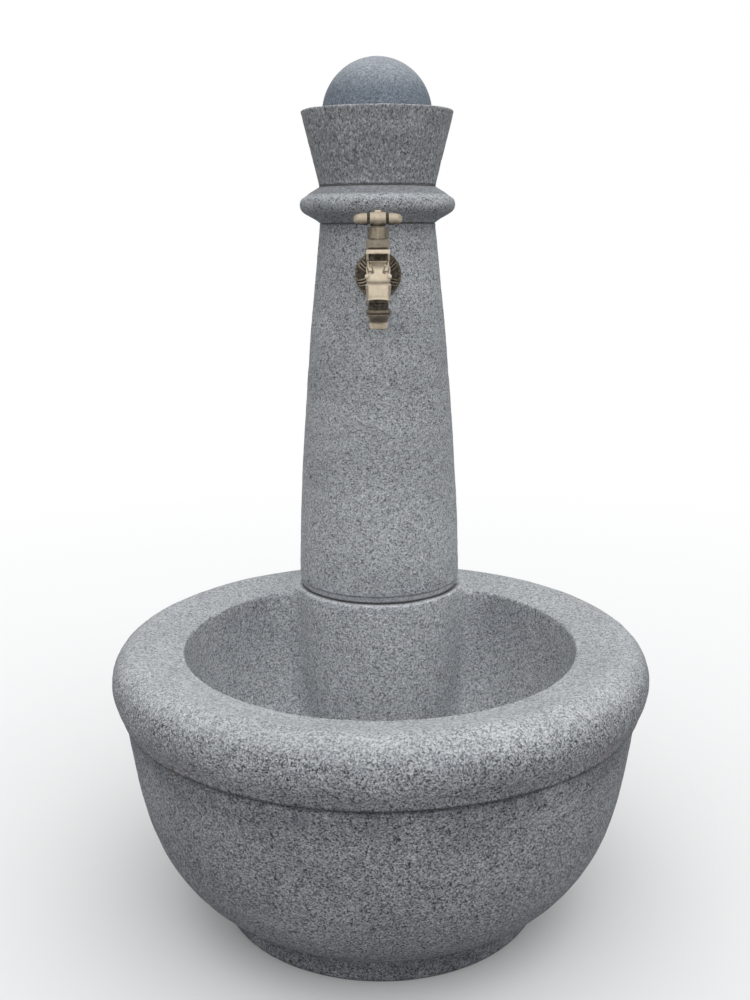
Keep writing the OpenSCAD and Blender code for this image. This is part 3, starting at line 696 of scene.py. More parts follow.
@dataclass(frozen=True)
class GraniteFinish:
    """Grey granite, from bush-hammered to honed, with the marks of weather.

    The mesh's own numbers say where it is smooth, dusty, damp or stained, where painted light
    pales it and where painted shade darkens it.
    """

    name: str
    body: Colour
    dark: Colour = (0.035, 0.038, 0.041)
    light: Colour = (0.700, 0.715, 0.730)
    grain: float = 0.0015
    marks: float = 0.0023
    relief: float = 0.0009
    contrast: float = 1.0
    streak: float = 1.0
    spread: tuple[float, float] = (0.72, 1.25)
    # Painted shade in the hammer's pits: how strong it is and how dark.
    pit_shade_amount: float = 0.5
    pit_shade: Colour = (0.12, 0.125, 0.13)
    deep: Colour = (0.42, 0.43, 0.45)
    cloudy: Colour = (0.55, 0.56, 0.60)
    # The pale colour of dust, and of painted light from above and inside the basin's mouth.
    pale_dust_and_light: Colour = (0.66, 0.68, 0.70)
    wet: Colour = (0.30, 0.32, 0.36)
    blush: Colour = (0.42, 0.33, 0.34)
    # The colour of painted shade.
    shade_colour: Colour = (0.22, 0.22, 0.23)

    def material(self) -> Material:
        """Builds the material.

        Returns:
            The material, which reads the attributes smooth, dust, damp, stain, shade and tone.
        """
        material, board, shader = new_material(self.name)
        at = board.place()
        drawn = board.stretch(at, (1.0, 1.0, self.streak))
        grain = GRAIN.place(board, drawn, self.grain)
        hammer = HAMMER.place(board, drawn, self.marks)
        names = ("smooth", "dust", "damp", "stain", "tone", "shade")
        smooth, dust, damp, stain, tone, shade = (board.attribute(name) for name in names)
        low, high = (tuple(c * f for c in self.body) for f in self.spread)
        colour = board.mix(board.span(grain["Body"], 0.2, 0.8), low, high)
        crisp = board.span(smooth, 0.0, 1.0, self.contrast, self.contrast * 0.35)
        colour = board.mix(board.times(grain["Dark"], crisp, True), colour, self.dark)
        colour = board.mix(board.times(grain["Light"], crisp, True), colour, self.light)
        open_pits = board.span(smooth, 0.0, 1.0, self.pit_shade_amount * self.contrast, 0.03)
        # Painted shade: the hammer's pits are darkened as if shade fell in them.
        colour = board.mix(board.times(hammer["Pits"], open_pits), colour, self.pit_shade, "MULTIPLY")
        # Darker where the tone is low; the basin's tone also carries painted light inside its mouth and on
        # its ledge.
        colour = board.mix(board.span(tone, 0.0, 1.0, 0.70, 0.0), colour, self.deep, "MULTIPLY")
        colour = board.mix(board.span(grain["Cloud"], 0.3, 0.7, 0.0, 0.2), colour, self.cloudy, "MULTIPLY")
        # Pale dust with painted top light on what faces up, and painted light on the walls inside the basin's
        # mouth.
        dusted_and_lit = board.times(dust, board.span(grain["Body"], 0.25, 0.75, 0.22, 0.44))
        colour = board.mix(dusted_and_lit, colour, self.pale_dust_and_light)
        wet = board.times(damp, board.span(board.noise(at, 0.03, 5.0, 0.6), 0.32, 0.62, 0.0, 0.62))
        colour = board.mix(wet, colour, self.wet, "MULTIPLY")
        blush = board.times(stain, board.span(board.noise(at, 0.025, 3.0), 0.4, 0.7, 0.0, 0.35))
        colour = board.mix(blush, colour, self.blush)
        # Painted shade: creases, joints and parts under overhangs are darkened.
        colour = board.mix(shade, colour, self.shade_colour, "MULTIPLY")
        rough = board.span(grain["Body"], 0.0, 1.0, 0.80, 0.94)
        rough = board.math("SUBTRACT", rough, board.times(smooth, 0.14))
        depth = board.times(hammer["Height"], board.span(smooth, 0.0, 1.0, 1.0, 0.12))
        normal = board.bump(depth, 0.9, self.relief)
        looks = {"Base Color": colour, "Roughness": rough, "Normal": normal, "Specular IOR Level": 0.3}
        board.feed(shader, looks)
        return material


@dataclass(frozen=True)
class MetalFinish:
    """Metal with a film of age, darker in hollows and painted shade, brighter on its edges."""

    name: str
    bright: Colour
    middle: Colour
    dark: Colour
    rough: float
    metallic: float = 0.75
    dull: float = 0.7
    relief: float = 0.00012

    def material(self) -> Material:
        """Builds the material.

        Returns:
            The material, which reads the mesh's attribute of patina and painted shade where it has it.
        """
        material, board, shader = new_material(self.name, self.metallic)
        at = board.place()
        age = AGEING.place(board, at, self.dull)
        hollow = board.attribute("hollow")
        colour = board.mix(age["Dull"], self.bright, self.middle)
        colour = board.mix(board.times(age["Spots"], 0.5), colour, self.dark)
        # Patina in hollows and painted shade both darken the metal here.
        patina_and_shade_mask = board.times(hollow, board.span(board.noise(at, 0.004, 3.0), 0.2, 0.6, 0.75, 1.0))
        colour = board.mix(patina_and_shade_mask, colour, self.dark)
        rough = board.plus(board.times(age["Dull"], 0.18), self.rough)
        rough = board.plus(rough, board.times(hollow, 0.25), clamp=True)
        normal = board.bump(age["Height"], 0.6, self.relief)
        board.feed(shader, {"Base Color": colour, "Roughness": rough, "Normal": normal})
        return material


@dataclass(frozen=True)
class PlainFinish:
    """A plain matt or satin stuff, such as mortar, rubber, fibre or yarn, with its own grain."""

    name: str
    pale: Colour
    deep: Colour
    grain: float
    rough: float
    relief: float
    stretch: tuple[float, float, float] = (1.0, 1.0, 1.0)
    metallic: float = 0.0

    def material(self) -> Material:
        """Builds the material from two layers of noise.

        Returns:
            The material.
        """
        material, board, shader = new_material(self.name, self.metallic)
        at = board.stretch(board.place(), self.stretch)
        fine = board.noise(at, self.grain, 4.0, 0.6)
        broad = board.noise(at, self.grain * 9.0, 3.0)
        share = board.span(board.plus(board.times(fine, 0.6), board.times(broad, 0.4)), 0.35, 0.65)
        board.feed(shader, {
            "Base Color": board.mix(share, self.deep, self.pale),
            "Roughness": board.span(fine, 0.3, 0.7, self.rough - 0.08, min(self.rough + 0.08, 1.0)),
            "Normal": board.bump(fine, 0.5, self.relief),
        })
        return material


@dataclass
class Stone:
    """What all stones share: the relief of their dressed faces and the numbers for their finish."""

    finish: Material
    slot: Slot = Slot.HAMMERED

    def dress(self, net: Array, closed: bool, fine: float, calm: Array | float, seed: int = 0) -> Array:
        """Sinks a net's points below the true face as a bush hammer does, and never raises them.

        The depth is a share of long waves, of lumps and of fine lumps, each from lattice noise,
        and is taken off along the normal.

        Args:
            net: The true face.
            closed: Whether the net's last row meets its first one.
            fine: The pitch of the finest lumps that the net can carry.
            calm: How much of the relief is left at each point.
            seed: Chooses another pattern.

        Returns:
            The dressed net.
        """
        normals = net_normals(net, closed)
        middle = net.reshape(-1, 3).mean(0)
        if np.einsum("ijk,ijk->", normals, net - middle) < 0:
            normals = -normals
        depth = 0.35 * (1.0 + lattice_noise(net, 55.0, seed))
        depth += 0.22 * (1.0 + lattice_noise(net, fine * 2.3, seed + 1))
        depth += 0.20 * (1.0 + lattice_noise(net, fine, seed + 2))
        return net - normals * (depth * calm)[..., None]

    def seat(self, obj: Object, node: str, finish: Material | None = None) -> Object:
        """Writes the finish's numbers on a stone and seats it in place of its CAD node.

        Args:
            obj: The stone's mesh object.
            node: The CAD node that it replaces.
            finish: Its material, where that isn't the usual one.

        Returns:
            The piece.
        """
        places, normals = vertex_arrays(obj)
        shade = self.shade(places)
        store(obj, "smooth", self.smooth(places))
        store(obj, "dust", self.dust(places, normals) * (1.0 - shade))
        store(obj, "damp", self.damp(places))
        store(obj, "stain", self.stain(places))
        store(obj, "shade", shade)
        store(obj, "tone", self.tone(places))
        return finish_piece(obj, finish or self.finish, self.slot, Body.FOUNTAIN, node)

    def dust(self, places: Array, normals: Array) -> Array:
        """Where pale dust lies, with painted top light: on what faces up."""
        return rise(normals[:, 2], 0.25, 0.95)

    def tone(self, places: Array) -> Array:
        """How pale the stone is, with soft clouds that are wider than they are high."""
        wide = places * np.array([0.35, 0.35, 1.0])
        return 0.62 + 0.22 * lattice_noise(wide, 34.0, 21) + 0.16 * lattice_noise(wide, 13.0, 22)

    def smooth(self, places: Array) -> Array:
        """Where the stone is sawn or honed and not hammered."""
        return np.zeros(len(places))

    def damp(self, places: Array) -> Array:
        """Where the stone is dark from water."""
        return np.zeros(len(places))

    def stain(self, places: Array) -> Array:
        """Where the stone has a pinkish stain."""
        return np.zeros(len(places))

    def shade(self, places: Array) -> Array:
        """Where painted shade darkens a crease."""
        return np.zeros(len(places))


@dataclass
class Basin(Stone):
    """The round basin with its foot, its rim band and the pedestal that the column stands on."""

    rim_r: float = 300.0
    rim_h: float = 320.0
    nose_r: float = 35.0
    band_draw: float = 7.5
    band_z: float = 252.0
    foot_r: float = 194.0
    foot_h: float = 32.0
    belly_r: float = 288.5
    mouth_r: float = 219.0
    mouth_drop: float = 8.0
    lip_r: float = 4.0
    floor_z: float = 78.0
    column_y: float = 197.0
    pedestal_r: float = 106.0
    waste_hole_r: float = 24.4
    flange_hole_r: float = 35.5
    recess_r: float = 46.0
    recess_h: float = 40.0
    pipe_r: float = 11.0
    pocket_r: float = 22.0
    pocket_h: float = 72.0
    columns: int = 428

    def bowl_profile(self) -> Array:
        """The outside from the waste hole over the recess, foot and bowl up to the rim band.

        The bowl is a straight lean with a belly added: 0.32 t + 0.68 (1 - (1 - t)^4.25)^0.86 of
        the way from the foot's radius to the band's. The band draws in with the square of the
        distance below the nose.

        Returns:
            Radius and height of each row.
        """
        t = np.linspace(0.0, 1.0, 240)
        share = 0.32 * t + 0.68 * (1.0 - (1.0 - t) ** 4.25) ** 0.86
        reach, rise_h = self.belly_r - self.foot_r, self.band_z - self.foot_h
        bowl = np.stack([self.foot_r + reach * share, self.foot_h + rise_h * t], 1)
        u = np.linspace(1.0, 0.0, 9)[1:]
        band = np.stack([self.rim_r - self.band_draw * u * u, self.rim_h - self.nose_r - 27.0 * u], 1)
        return outline(
            line(self.waste_hole_r, 70.0, self.waste_hole_r, self.recess_h, 3),
            line(self.waste_hole_r + 6.0, self.recess_h, self.recess_r - 1.0, self.recess_h, 3),
            line(self.recess_r, self.recess_h - 1.0, self.recess_r, 1.5, 5),
            even(line(self.recess_r + 1.5, 0.0, 181.5, 0.0, 2), 11.0),
            [[183.0, 0.5], [184.0, 2.0]],
            even(line(184.4, 5.0, 186.6, 30.0, 2), 3.6),
            [[187.2, 31.6], [190.5, 32.2]],
            even(bowl, 4.6)[:-1],
            arc(288.9, 255.6, 3.6, -90.0, 11.0, 6),
            band,
        )

    def away(self, x: Array, y: Array) -> Array:
        """The distance from the column's axis."""
        return np.hypot(x, y - self.column_y)

    def raised(self, x: Array, y: Array) -> Array:
        """How far a place belongs to the pedestal's level top: 1 on it and 0 beside it."""
        return 1.0 - rise(self.away(x, y) - self.pedestal_r, 0.5, 11.0)

    def free_edge(self, angles: Array, radius: Array, inset: Array, blend: Array) -> Array:
        """Where rays from inside the bowl meet the wall or the pedestal.

        A ray leaves a point in front of the basin's axis. Along it the free distance is the soft
        least of the distance left to the wall and of the distance to the pedestal, and the ray
        ends where that is nothing, which is found by even steps and then by halving.

        Args:
            angles: The rays' directions, counted from the front.
            radius: The wall's radius in each row.
            inset: How far the pedestal's radius is reduced in each row.
            blend: The width of the rounding between wall and pedestal in each row.

        Returns:
            x and y of each ray's end, rows by columns by 2.
        """
        radius, inset, blend = (v[:, None, None] for v in (radius, inset, blend))
        start = np.minimum(100.0, 0.45 * radius)
        way = np.stack([np.sin(angles), -np.cos(angles)])[:, None, :, None]

        def free(s: Array) -> Array:
            """The free distance at s along each ray."""
            x, y = way[0] * s, way[1] * s - start
            return soft_least(radius - np.hypot(x, y), self.away(x, y) - self.pedestal_r + inset, blend)

        parts = 140
        steps = np.linspace(0.0, 1.0, parts + 1)[None, None, :] * (radius + start)
        inside = free(steps) > 0.0
        last = np.argmin(inside, 2)[..., None] - 1
        low = np.take_along_axis(np.broadcast_to(steps, inside.shape), last, 2)
        high = low + (radius + start) / parts
        for _ in range(16):
            middle = (low + high) / 2.0
            good = free(middle) > 0.0
            low, high = np.where(good, middle, low), np.where(good, high, middle)
        return np.stack([(way[0] * low)[..., 0], (way[1] * low)[..., 0] - start[..., 0]], 2)

    def ray_angles(self) -> Array:
        """Directions of the rays that meet the mouth's edge at even distances along it.

        Returns:
            The angles.
        """
        fan = np.linspace(-math.pi, math.pi, 7201)
        edge = self.free_edge(fan, np.array([self.mouth_r]), np.array([0.0]), np.array([42.0]))[0]
        run = run_along(edge)
        return np.interp(self.turns(), run / run[-1] * FULL_TURN - math.pi, fan)

    def turns(self) -> Array:
        """The columns' angles on the outside, counted from the front."""
        return (np.arange(self.columns) + 0.5) / self.columns * FULL_TURN - math.pi

    def nose(self) -> Array:
        """The rim's rounded nose, which is squared behind the pedestal.

        A row at angle p lies at (265 + 35 cos^(2/n) p, 285 + 35 sin^(2/n) p). The exponent n is 2
        for a quarter circle and grows to 12 where the pedestal's level top runs out to the back. No
        row lies outside or below the one before it.

        Returns:
            The net of the nose.
        """
        turns, top_r = self.turns(), self.rim_r - self.nose_r
        p = np.radians(np.linspace(3.0, 90.0, 15))[:, None]
        r = top_r + self.nose_r * np.cos(p)
        n = 2.0 + 10.0 * self.raised(r * np.sin(turns), -r * np.cos(turns))
        c, s = np.maximum(np.cos(p), 1e-4) ** (2.0 / n), np.sin(p) ** (2.0 / n)
        r = np.minimum.accumulate(top_r + self.nose_r * c)
        z = np.maximum.accumulate(self.rim_h - self.nose_r + self.nose_r * s)
        return np.stack([r * np.sin(turns), -r * np.cos(turns), z], 2)

    def inside(self) -> Array:
        """The mouth's lip, the bowl's inner wall and the pedestal's side, down to the floor.

        The wall's radius is (1 - (1 - t)^3)^0.4 of the mouth's at the share t of its height. Near
        the floor's middle the columns turn back to even angles.

        Returns:
            The net.
        """
        turns = self.turns()
        t = np.linspace(1.0, 0.0035, 900)
        wall = np.stack([self.mouth_r * (1.0 - (1.0 - t) ** 3) ** 0.4, self.floor_z + 230.0 * t], 1)
        q = np.radians([0.0, 30.0, 60.0])
        lip_z = self.rim_h - self.mouth_drop - self.lip_r + self.lip_r * np.cos(q)
        lip = np.stack([self.mouth_r + self.lip_r * (1.0 - np.sin(q)), lip_z], 1)
        radius, height = outline(lip, even(wall, 4.5)).T
        inset = np.maximum(radius - self.mouth_r, 0.0)
        edge = self.free_edge(self.ray_angles(), radius, inset, 20.0 + 22.0 * rise(radius, 110.0, 190.0))
        polar = np.arctan2(edge[..., 0], -edge[..., 1])
        polar = polar + (turns - polar) * (1.0 - rise(radius, 36.0, 88.0)[:, None])
        far = np.hypot(edge[..., 0], edge[..., 1])
        x, y = far * np.sin(polar), -far * np.cos(polar)
        lift = self.mouth_drop * self.raised(x, y) * rise(height, 236.0, 308.0)[:, None]
        return np.stack([x, y, height[:, None] + lift], 2)

    def net(self) -> Array:
        """The whole skin as one net, closed both ways, from the waste hole round to its top.

        Returns:
            The points, rows by columns by 3.
        """
        nose, inside = self.nose(), self.inside()
        share = np.linspace(0.0, 1.0, 13)[1:-1, None]
        x, y = (nose[-1, :, i] * (1.0 - share) + inside[0, :, i] * share for i in (0, 1))
        width = self.rim_r - self.nose_r - self.mouth_r - self.lip_r
        drop = np.clip((self.rim_r - self.nose_r - np.hypot(x, y)) / width, 0.0, 1.0)
        slope = self.rim_h - self.mouth_drop * drop
        top = np.stack([x, y, slope + (self.rim_h - slope) * self.raised(x, y)], 2)
        wide = self.flange_hole_r
        hole = np.array([[wide, 77.0], [wide, 71.5], [self.waste_hole_r + 1.0, 71.0]])
        lower, hole = (turned(profile, self.turns()) for profile in (self.bowl_profile(), hole))
        return np.concatenate([lower, nose, top, inside, hole])

    def build(self) -> Object:
        """Makes the basin, with the pocket and the pipe's hole cut out behind the foot.

        Returns:
            The piece.
        """
        net = self.net()
        calm = rise(net[..., 2], 3.0, 14.0) * rise(np.hypot(net[..., 0], net[..., 1]), 44.0, 60.0)
        net = self.dress(net, True, 10.0, 0.1 + 0.9 * calm)
        net[..., 2] = np.minimum(net[..., 2], self.rim_h)
        obj = Form("granite_basin").add(net, closed=True).build()
        bore = outline(
            [[self.pocket_r, -6.0], [self.pocket_r, self.pocket_h]],
            [[self.pipe_r, self.pocket_h], [self.pipe_r, self.rim_h + 8.0]],
        )
        cut(obj, Form("pipe_cutter").add(turned(bore, around(48), 0.0, self.column_y)).build())
        return self.seat(obj, "basin")

    def smooth(self, places: Array) -> Array:
        """The underside, the recess, the ledge and the hollows beside the pedestal are smoother.

        Args:
            places: The vertices' places.

        Returns:
            One number for each vertex.
        """
        x, y, z = places.T
        far = np.hypot(x, y)
        under = rise(z, 3.0, 0.5)
        recess = rise(far - self.recess_r, 2.0, 0.5) * rise(self.floor_z - z, 0.0, 4.0)
        ledge = self.raised(x, y) * rise(self.rim_h - z, 12.0, 4.0)
        ledge = ledge * rise(self.away(x, y) - self.pedestal_r, 6.0, 1.0)
        foot = 0.2 * rise(z - self.foot_h, 2.0, -1.0)
        corner = np.hypot(np.abs(x) - 118.0, y - 150.0)
        fillet = 0.15 * rise(corner, 42.0, 16.0) * rise(far - self.mouth_r, 5.0, -5.0) * rise(z, 80.0, 110.0)
        return np.maximum.reduce([under, recess, 0.65 * ledge, foot, fillet])

    def within(self, places: Array) -> Array:
        """1 inside the mouth, on the bowl's inner wall and on the pedestal's side.

        Args:
            places: The vertices' places.

        Returns:
            One number for each vertex.
        """
        x, y, z = places.T
        wall = rise(np.hypot(x, y) - self.mouth_r, 7.0, -1.0)
        return wall * rise(self.rim_h - z, 2.0, 12.0) * rise(self.floor_z - z, 18.0, 2.0)

    def tone(self, places: Array) -> Array:
        """The stone's soft clouds, with painted light that pales it inside the mouth and on the ledge.

        Args:
            places: The vertices' places.

        Returns:
            One number for each vertex.
        """
        x, y, z = places.T
        ledge = self.raised(x, y) * rise(self.rim_h - z, 10.0, 4.0)
        # Painted light: paler inside the mouth and on the pedestal's ledge.
        return super().tone(places) - 0.1 + 0.62 * np.maximum(self.within(places), ledge)

    def dust(self, places: Array, normals: Array) -> Array:
        """Pale dust and painted top light lie on what faces up, and painted light inside the mouth."""
        # Painted light on the walls inside the mouth.
        return np.maximum(super().dust(places, normals), 0.55 * self.within(places))

    def damp(self, places: Array) -> Array:
        """The upper wall at the back left and right, a belt under the band, and painted shade at the foot.

        Args:
            places: The vertices' places.

        Returns:
            One number for each vertex.
        """
        x, y, z = places.T
        far = np.hypot(x, y)
        side = bell(np.abs(x), 150.0, 52.0) * bell(y, 130.0, 62.0) * bell(z, 285.0, 45.0)
        belt = 0.8 * rise(far, 230.0, 250.0) * between(self.band_z - z, -10.0, 2.0, 2.0, 56.0)
        # Painted shade: the outside grows darker near the floor.
        foot = rise(z, 60.0, 6.0) * rise(far, 60.0, 120.0)
        return np.maximum.reduce([0.6 * self.within(places) * side, belt, foot])

    def stain(self, places: Array) -> Array:
        """A faint pinkish band on the bowl's side under the rim, left and right."""
        x, y, z = places.T
        return rise(np.abs(x), 120.0, 220.0) * bell(z, 262.0, 14.0) * (np.hypot(x, y) > 250.0)

    def shade(self, places: Array) -> Array:
        """Painted shade: the crease under the band, deepest in front, the joint round the column, the foot.

        Args:
            places: The vertices' places.

        Returns:
            One number for each vertex.
        """
        x, y, z = places.T
        far = np.hypot(x, y)
        front = 0.35 + 0.65 * rise(-y / far.clip(1.0), -0.3, 0.7)
        crease = 0.85 * front * bell(z, self.band_z, 3.2) * (far > 270.0)
        slit = 0.7 * rise(self.pedestal_r - self.away(x, y), 4.4, 5.8) * (z > self.rim_h - 4.0)
        foot = 0.22 * rise(z - self.foot_h, 4.0, -2.0)
        return np.maximum.reduce([crease, slit, foot])


@dataclass
class Column(Stone):
    """The tapering shaft, the collar and the capital, all on one axis behind the bowl."""

    collar_finish: Material | None = None
    capital_finish: Material | None = None
    mortar: Material | None = None
    axis_y: float = 197.0
    foot_z: float = 322.0
    shaft_h: float = 449.0
    foot_r: float = 103.0
    top_r: float = 70.3
    swell: float = 1.55
    core_r: float = 22.0
    hole_r: float = 6.0
    collar_z: float = 772.5
    nose_r: float = 12.2
    nose_mid_r: float = 82.3
    nose_z: float = 793.9
    neck_r: float = 70.5
    neck_z: float = 814.5
    capital_z: float = 816.0
    capital_h: float = 86.0
    capital_r: float = 91.5
    edge_r: float = 2.6
    tap_z: float = 714.0
    seat_y: float = 121.69
    seat_r: float = 28.0
    columns: int = 300

    def shaft(self) -> Object:
        """Makes the shaft: its radius falls from the foot's with the height to the power of 1.55.

        Points inside the tap's seat are moved back to the seat's plane.

        Returns:
            The piece.
        """
        top = self.foot_z + self.shaft_h
        z = np.linspace(self.foot_z + 12.0, top, 60)
        share = ((z - self.foot_z) / self.shaft_h) ** self.swell
        side = np.stack([self.foot_r - (self.foot_r - self.top_r) * share, z], 1)
        profile = outline(
            line(self.core_r, self.foot_z, self.foot_r - 5.0, self.foot_z, 8),
            line(self.foot_r - 3.4, self.foot_z + 0.4, self.foot_r - 3.0, self.foot_z + 5.6, 4),
            arc(self.foot_r - 4.2, self.foot_z + 10.4, 4.0, -72.0, 0.0, 6),
            even(side, 2.2)[:-1],
            arc(self.top_r - 0.6, top - 0.6, 0.6, 10.0, 90.0, 4),
            line(self.top_r - 5.0, top, self.core_r, top, 6),
            line(self.core_r, top - 8.0, self.core_r, self.foot_z + 8.0, 24),
        )
        net = turned(profile, around(288), 0.0, self.axis_y)
        x, y, height = np.moveaxis(net, -1, 0)
        calm = between(height, self.foot_z + 6.0, self.foot_z + 10.0, top - 2.0, top - 0.3)
        calm = calm * rise(np.hypot(x, y - self.axis_y), 60.0, 68.0)
        near = np.hypot(x, height - self.tap_z) + 60.0 * (y > self.axis_y)
        flat = 1.0 - 0.9 * rise(near, self.seat_r + 4.0, self.seat_r)
        net = self.dress(net, True, 5.2, (0.12 + 0.88 * calm) * flat, 3)
        net[..., 1] = np.where(near < self.seat_r + 1.0, np.maximum(net[..., 1], self.seat_y), net[..., 1])
        return self.seat(Form("granite_shaft").add(net, closed=True).build(), "column_shaft")

    def head_stone(self, name: str, profile: Array, rough: Sequence[float], seed: int) -> Object:
        """Turns a stone over the shaft from its profile and dresses its face.

        Args:
            name: The mesh object's name.
            profile: Radius and height of each row.
            rough: The heights between which the face is rough, as between takes them.
            seed: Chooses the pattern of the relief.

        Returns:
            The mesh object.
        """
        net = turned(even(profile, 1.9), around(self.columns), 0.0, self.axis_y)
        calm = 0.1 + 0.9 * between(net[..., 2], *rough)
        return Form(name).add(self.dress(net, False, 4.6, calm, seed)).build()

    def collar(self) -> Object:
        """Makes the collar: a round nose between a low cone beneath and a smooth cone above.

        Returns:
            The piece.
        """
        profile = outline(
            line(self.hole_r, self.collar_z, 69.0, self.collar_z, 12),
            line(70.4, self.collar_z + 0.2, 71.4, self.collar_z + 1.1, 3),
            line(72.4, self.collar_z + 1.7, 87.4, self.collar_z + 10.0, 10),
            arc(self.nose_mid_r, self.nose_z, self.nose_r, -60.0, 37.0, 24),
            line(91.2, 801.8, 70.9, self.neck_z - 0.5, 14),
            line(self.neck_r - 0.4, self.neck_z, self.hole_r, self.neck_z, 12),
        )
        obj = self.head_stone("granite_collar", profile, (773.0, 776.0, 804.0, 808.0), 6)
        return self.seat(obj, "collar", self.collar_finish)

    def capital(self) -> Object:
        """Makes the capital: an upturned cone with a soft top edge.

        Returns:
            The piece.
        """
        top = self.capital_z + self.capital_h
        profile = outline(
            line(self.hole_r, self.capital_z, self.neck_r - 1.0, self.capital_z, 12),
            line(self.neck_r + 0.2, self.capital_z + 0.6, self.capital_r - 0.2, top - self.edge_r, 30),
            arc(self.capital_r - self.edge_r, top - self.edge_r, self.edge_r, 10.0, 90.0, 6),
            line(self.capital_r - 4.0, top, self.hole_r, top, 16),
        )
        rough = (self.capital_z, self.capital_z + 3.0, top + 1.0, top + 2.0)
        obj = self.head_stone("granite_capital", profile, rough, 9)
        return self.seat(obj, "capital", self.capital_finish)

    def joint(self, name: str, node: str, radius: float, low: float, high: float) -> Object:
        """Makes the mortar of one joint: a thin ring whose edge wavers with lattice noise.

        Args:
            name: The piece's name.
            node: The CAD node that it replaces.
            radius: The stones' radius at the joint.
            low: The joint's lower face.
            high: The joint's upper face.

        Returns:
            The piece.
        """
        profile = outline(
            line(8.0, low, radius - 1.6, low, 5),
            [[radius - 0.3, low + 0.1], [radius - 0.2, (low + high) / 2.0], [radius - 0.3, high - 0.1]],
            line(radius - 1.6, high, 8.0, high, 5),
        )
        net = turned(profile, around(self.columns), 0.0, self.axis_y)
        out = rise(np.hypot(net[..., 0], net[..., 1] - self.axis_y), radius - 1.7, radius - 0.5)
        waves = 0.0016 * (1.0 + lattice_noise(net, 4.0, 30)) + 0.0012 * (1.0 + lattice_noise(net, 1.7, 31))
        pull = 1.0 - out * waves
        axis = np.array([0.0, self.axis_y, 0.0])
        net = (net - axis) * np.stack([pull, pull, np.ones_like(pull)], 2) + axis
        obj = Form(name).add(net, closed=True).build()
        return finish_piece(obj, self.mortar, Slot.MORTAR, Body.FOUNTAIN, node)

    def build(self) -> None:
        """Makes the three stones and the two joints whose mortar shows."""
        self.shaft()
        self.collar()
        self.capital()
        top = self.foot_z + self.shaft_h
        self.joint("mortar_under_collar", "collar_bed", self.top_r, top, self.collar_z)
        self.joint("mortar_under_capital", "capital_bed", self.neck_r, self.neck_z, self.capital_z)

    def smooth(self, places: Array) -> Array:
        """The strip under the shaft and the collar's upper cone are sawn.

        Args:
            places: The vertices' places.

        Returns:
            One number for each vertex.
        """
        z = places[:, 2]
        strip = rise(z - self.foot_z, 9.0, 6.0)
        return np.maximum(strip, between(z - self.neck_z, -11.0, -8.5, 0.7, 1.3))

    def tone(self, places: Array) -> Array:
        """The stone's soft clouds, paler towards the shaft's foot."""
        return super().tone(places) + 0.12 + 0.22 * rise(places[:, 2] - self.foot_z, 278.0, 58.0)

    def dust(self, places: Array, normals: Array) -> Array:
        """Less pale dust and painted top light lie on the column than on the basin."""
        return 0.55 * super().dust(places, normals)

    def damp(self, places: Array) -> Array:
        """The shaft's foot, which splashes wet."""
        return 0.3 * rise(places[:, 2] - self.foot_z, 48.0, 0.0)

    def shade(self, places: Array) -> Array:
        """Painted shade: the collar's upper cone, the strip under the shaft, the top under the collar.

        Args:
            places: The vertices' places.

        Returns:
            One number for each vertex.
        """
        z = places[:, 2]
        cone = 0.5 * between(z - self.neck_z, -10.9, -8.1, 0.7, 1.3)
        strip = 0.08 * rise(z - self.foot_z, 8.0, 6.0)
        under = 0.25 * between(z - self.foot_z - self.shaft_h, -15.0, 0.0, 0.5, 1.0)
        return np.maximum.reduce([cone, strip, under])


@dataclass
class Ball(Stone):
    """The honed dome on the capital."""

    axis_y: float = 197.0
    middle_z: float = 897.0
    radius: float = 65.6
    base_z: float = 903.0

    def build(self) -> Object:
        """Makes the dome: a ball cut level at its base.

        Returns:
            The piece.
        """
        low = math.degrees(math.asin((self.base_z - self.middle_z) / self.radius))
        profile = outline(
            line(5.0, self.base_z, self.radius - 3.0, self.base_z, 14),
            arc(0.0, self.middle_z, self.radius, low, 89.2, 56),
        )
        net = turned(profile, around(220), 0.0, self.axis_y)
        net = self.dress(net, False, 7.0, 0.22, 12)
        return self.seat(Form("granite_ball").add(net).build(), "ball_finial")

    def smooth(self, places: Array) -> Array:
        """The whole dome is honed."""
        return np.full(len(places), 0.8)


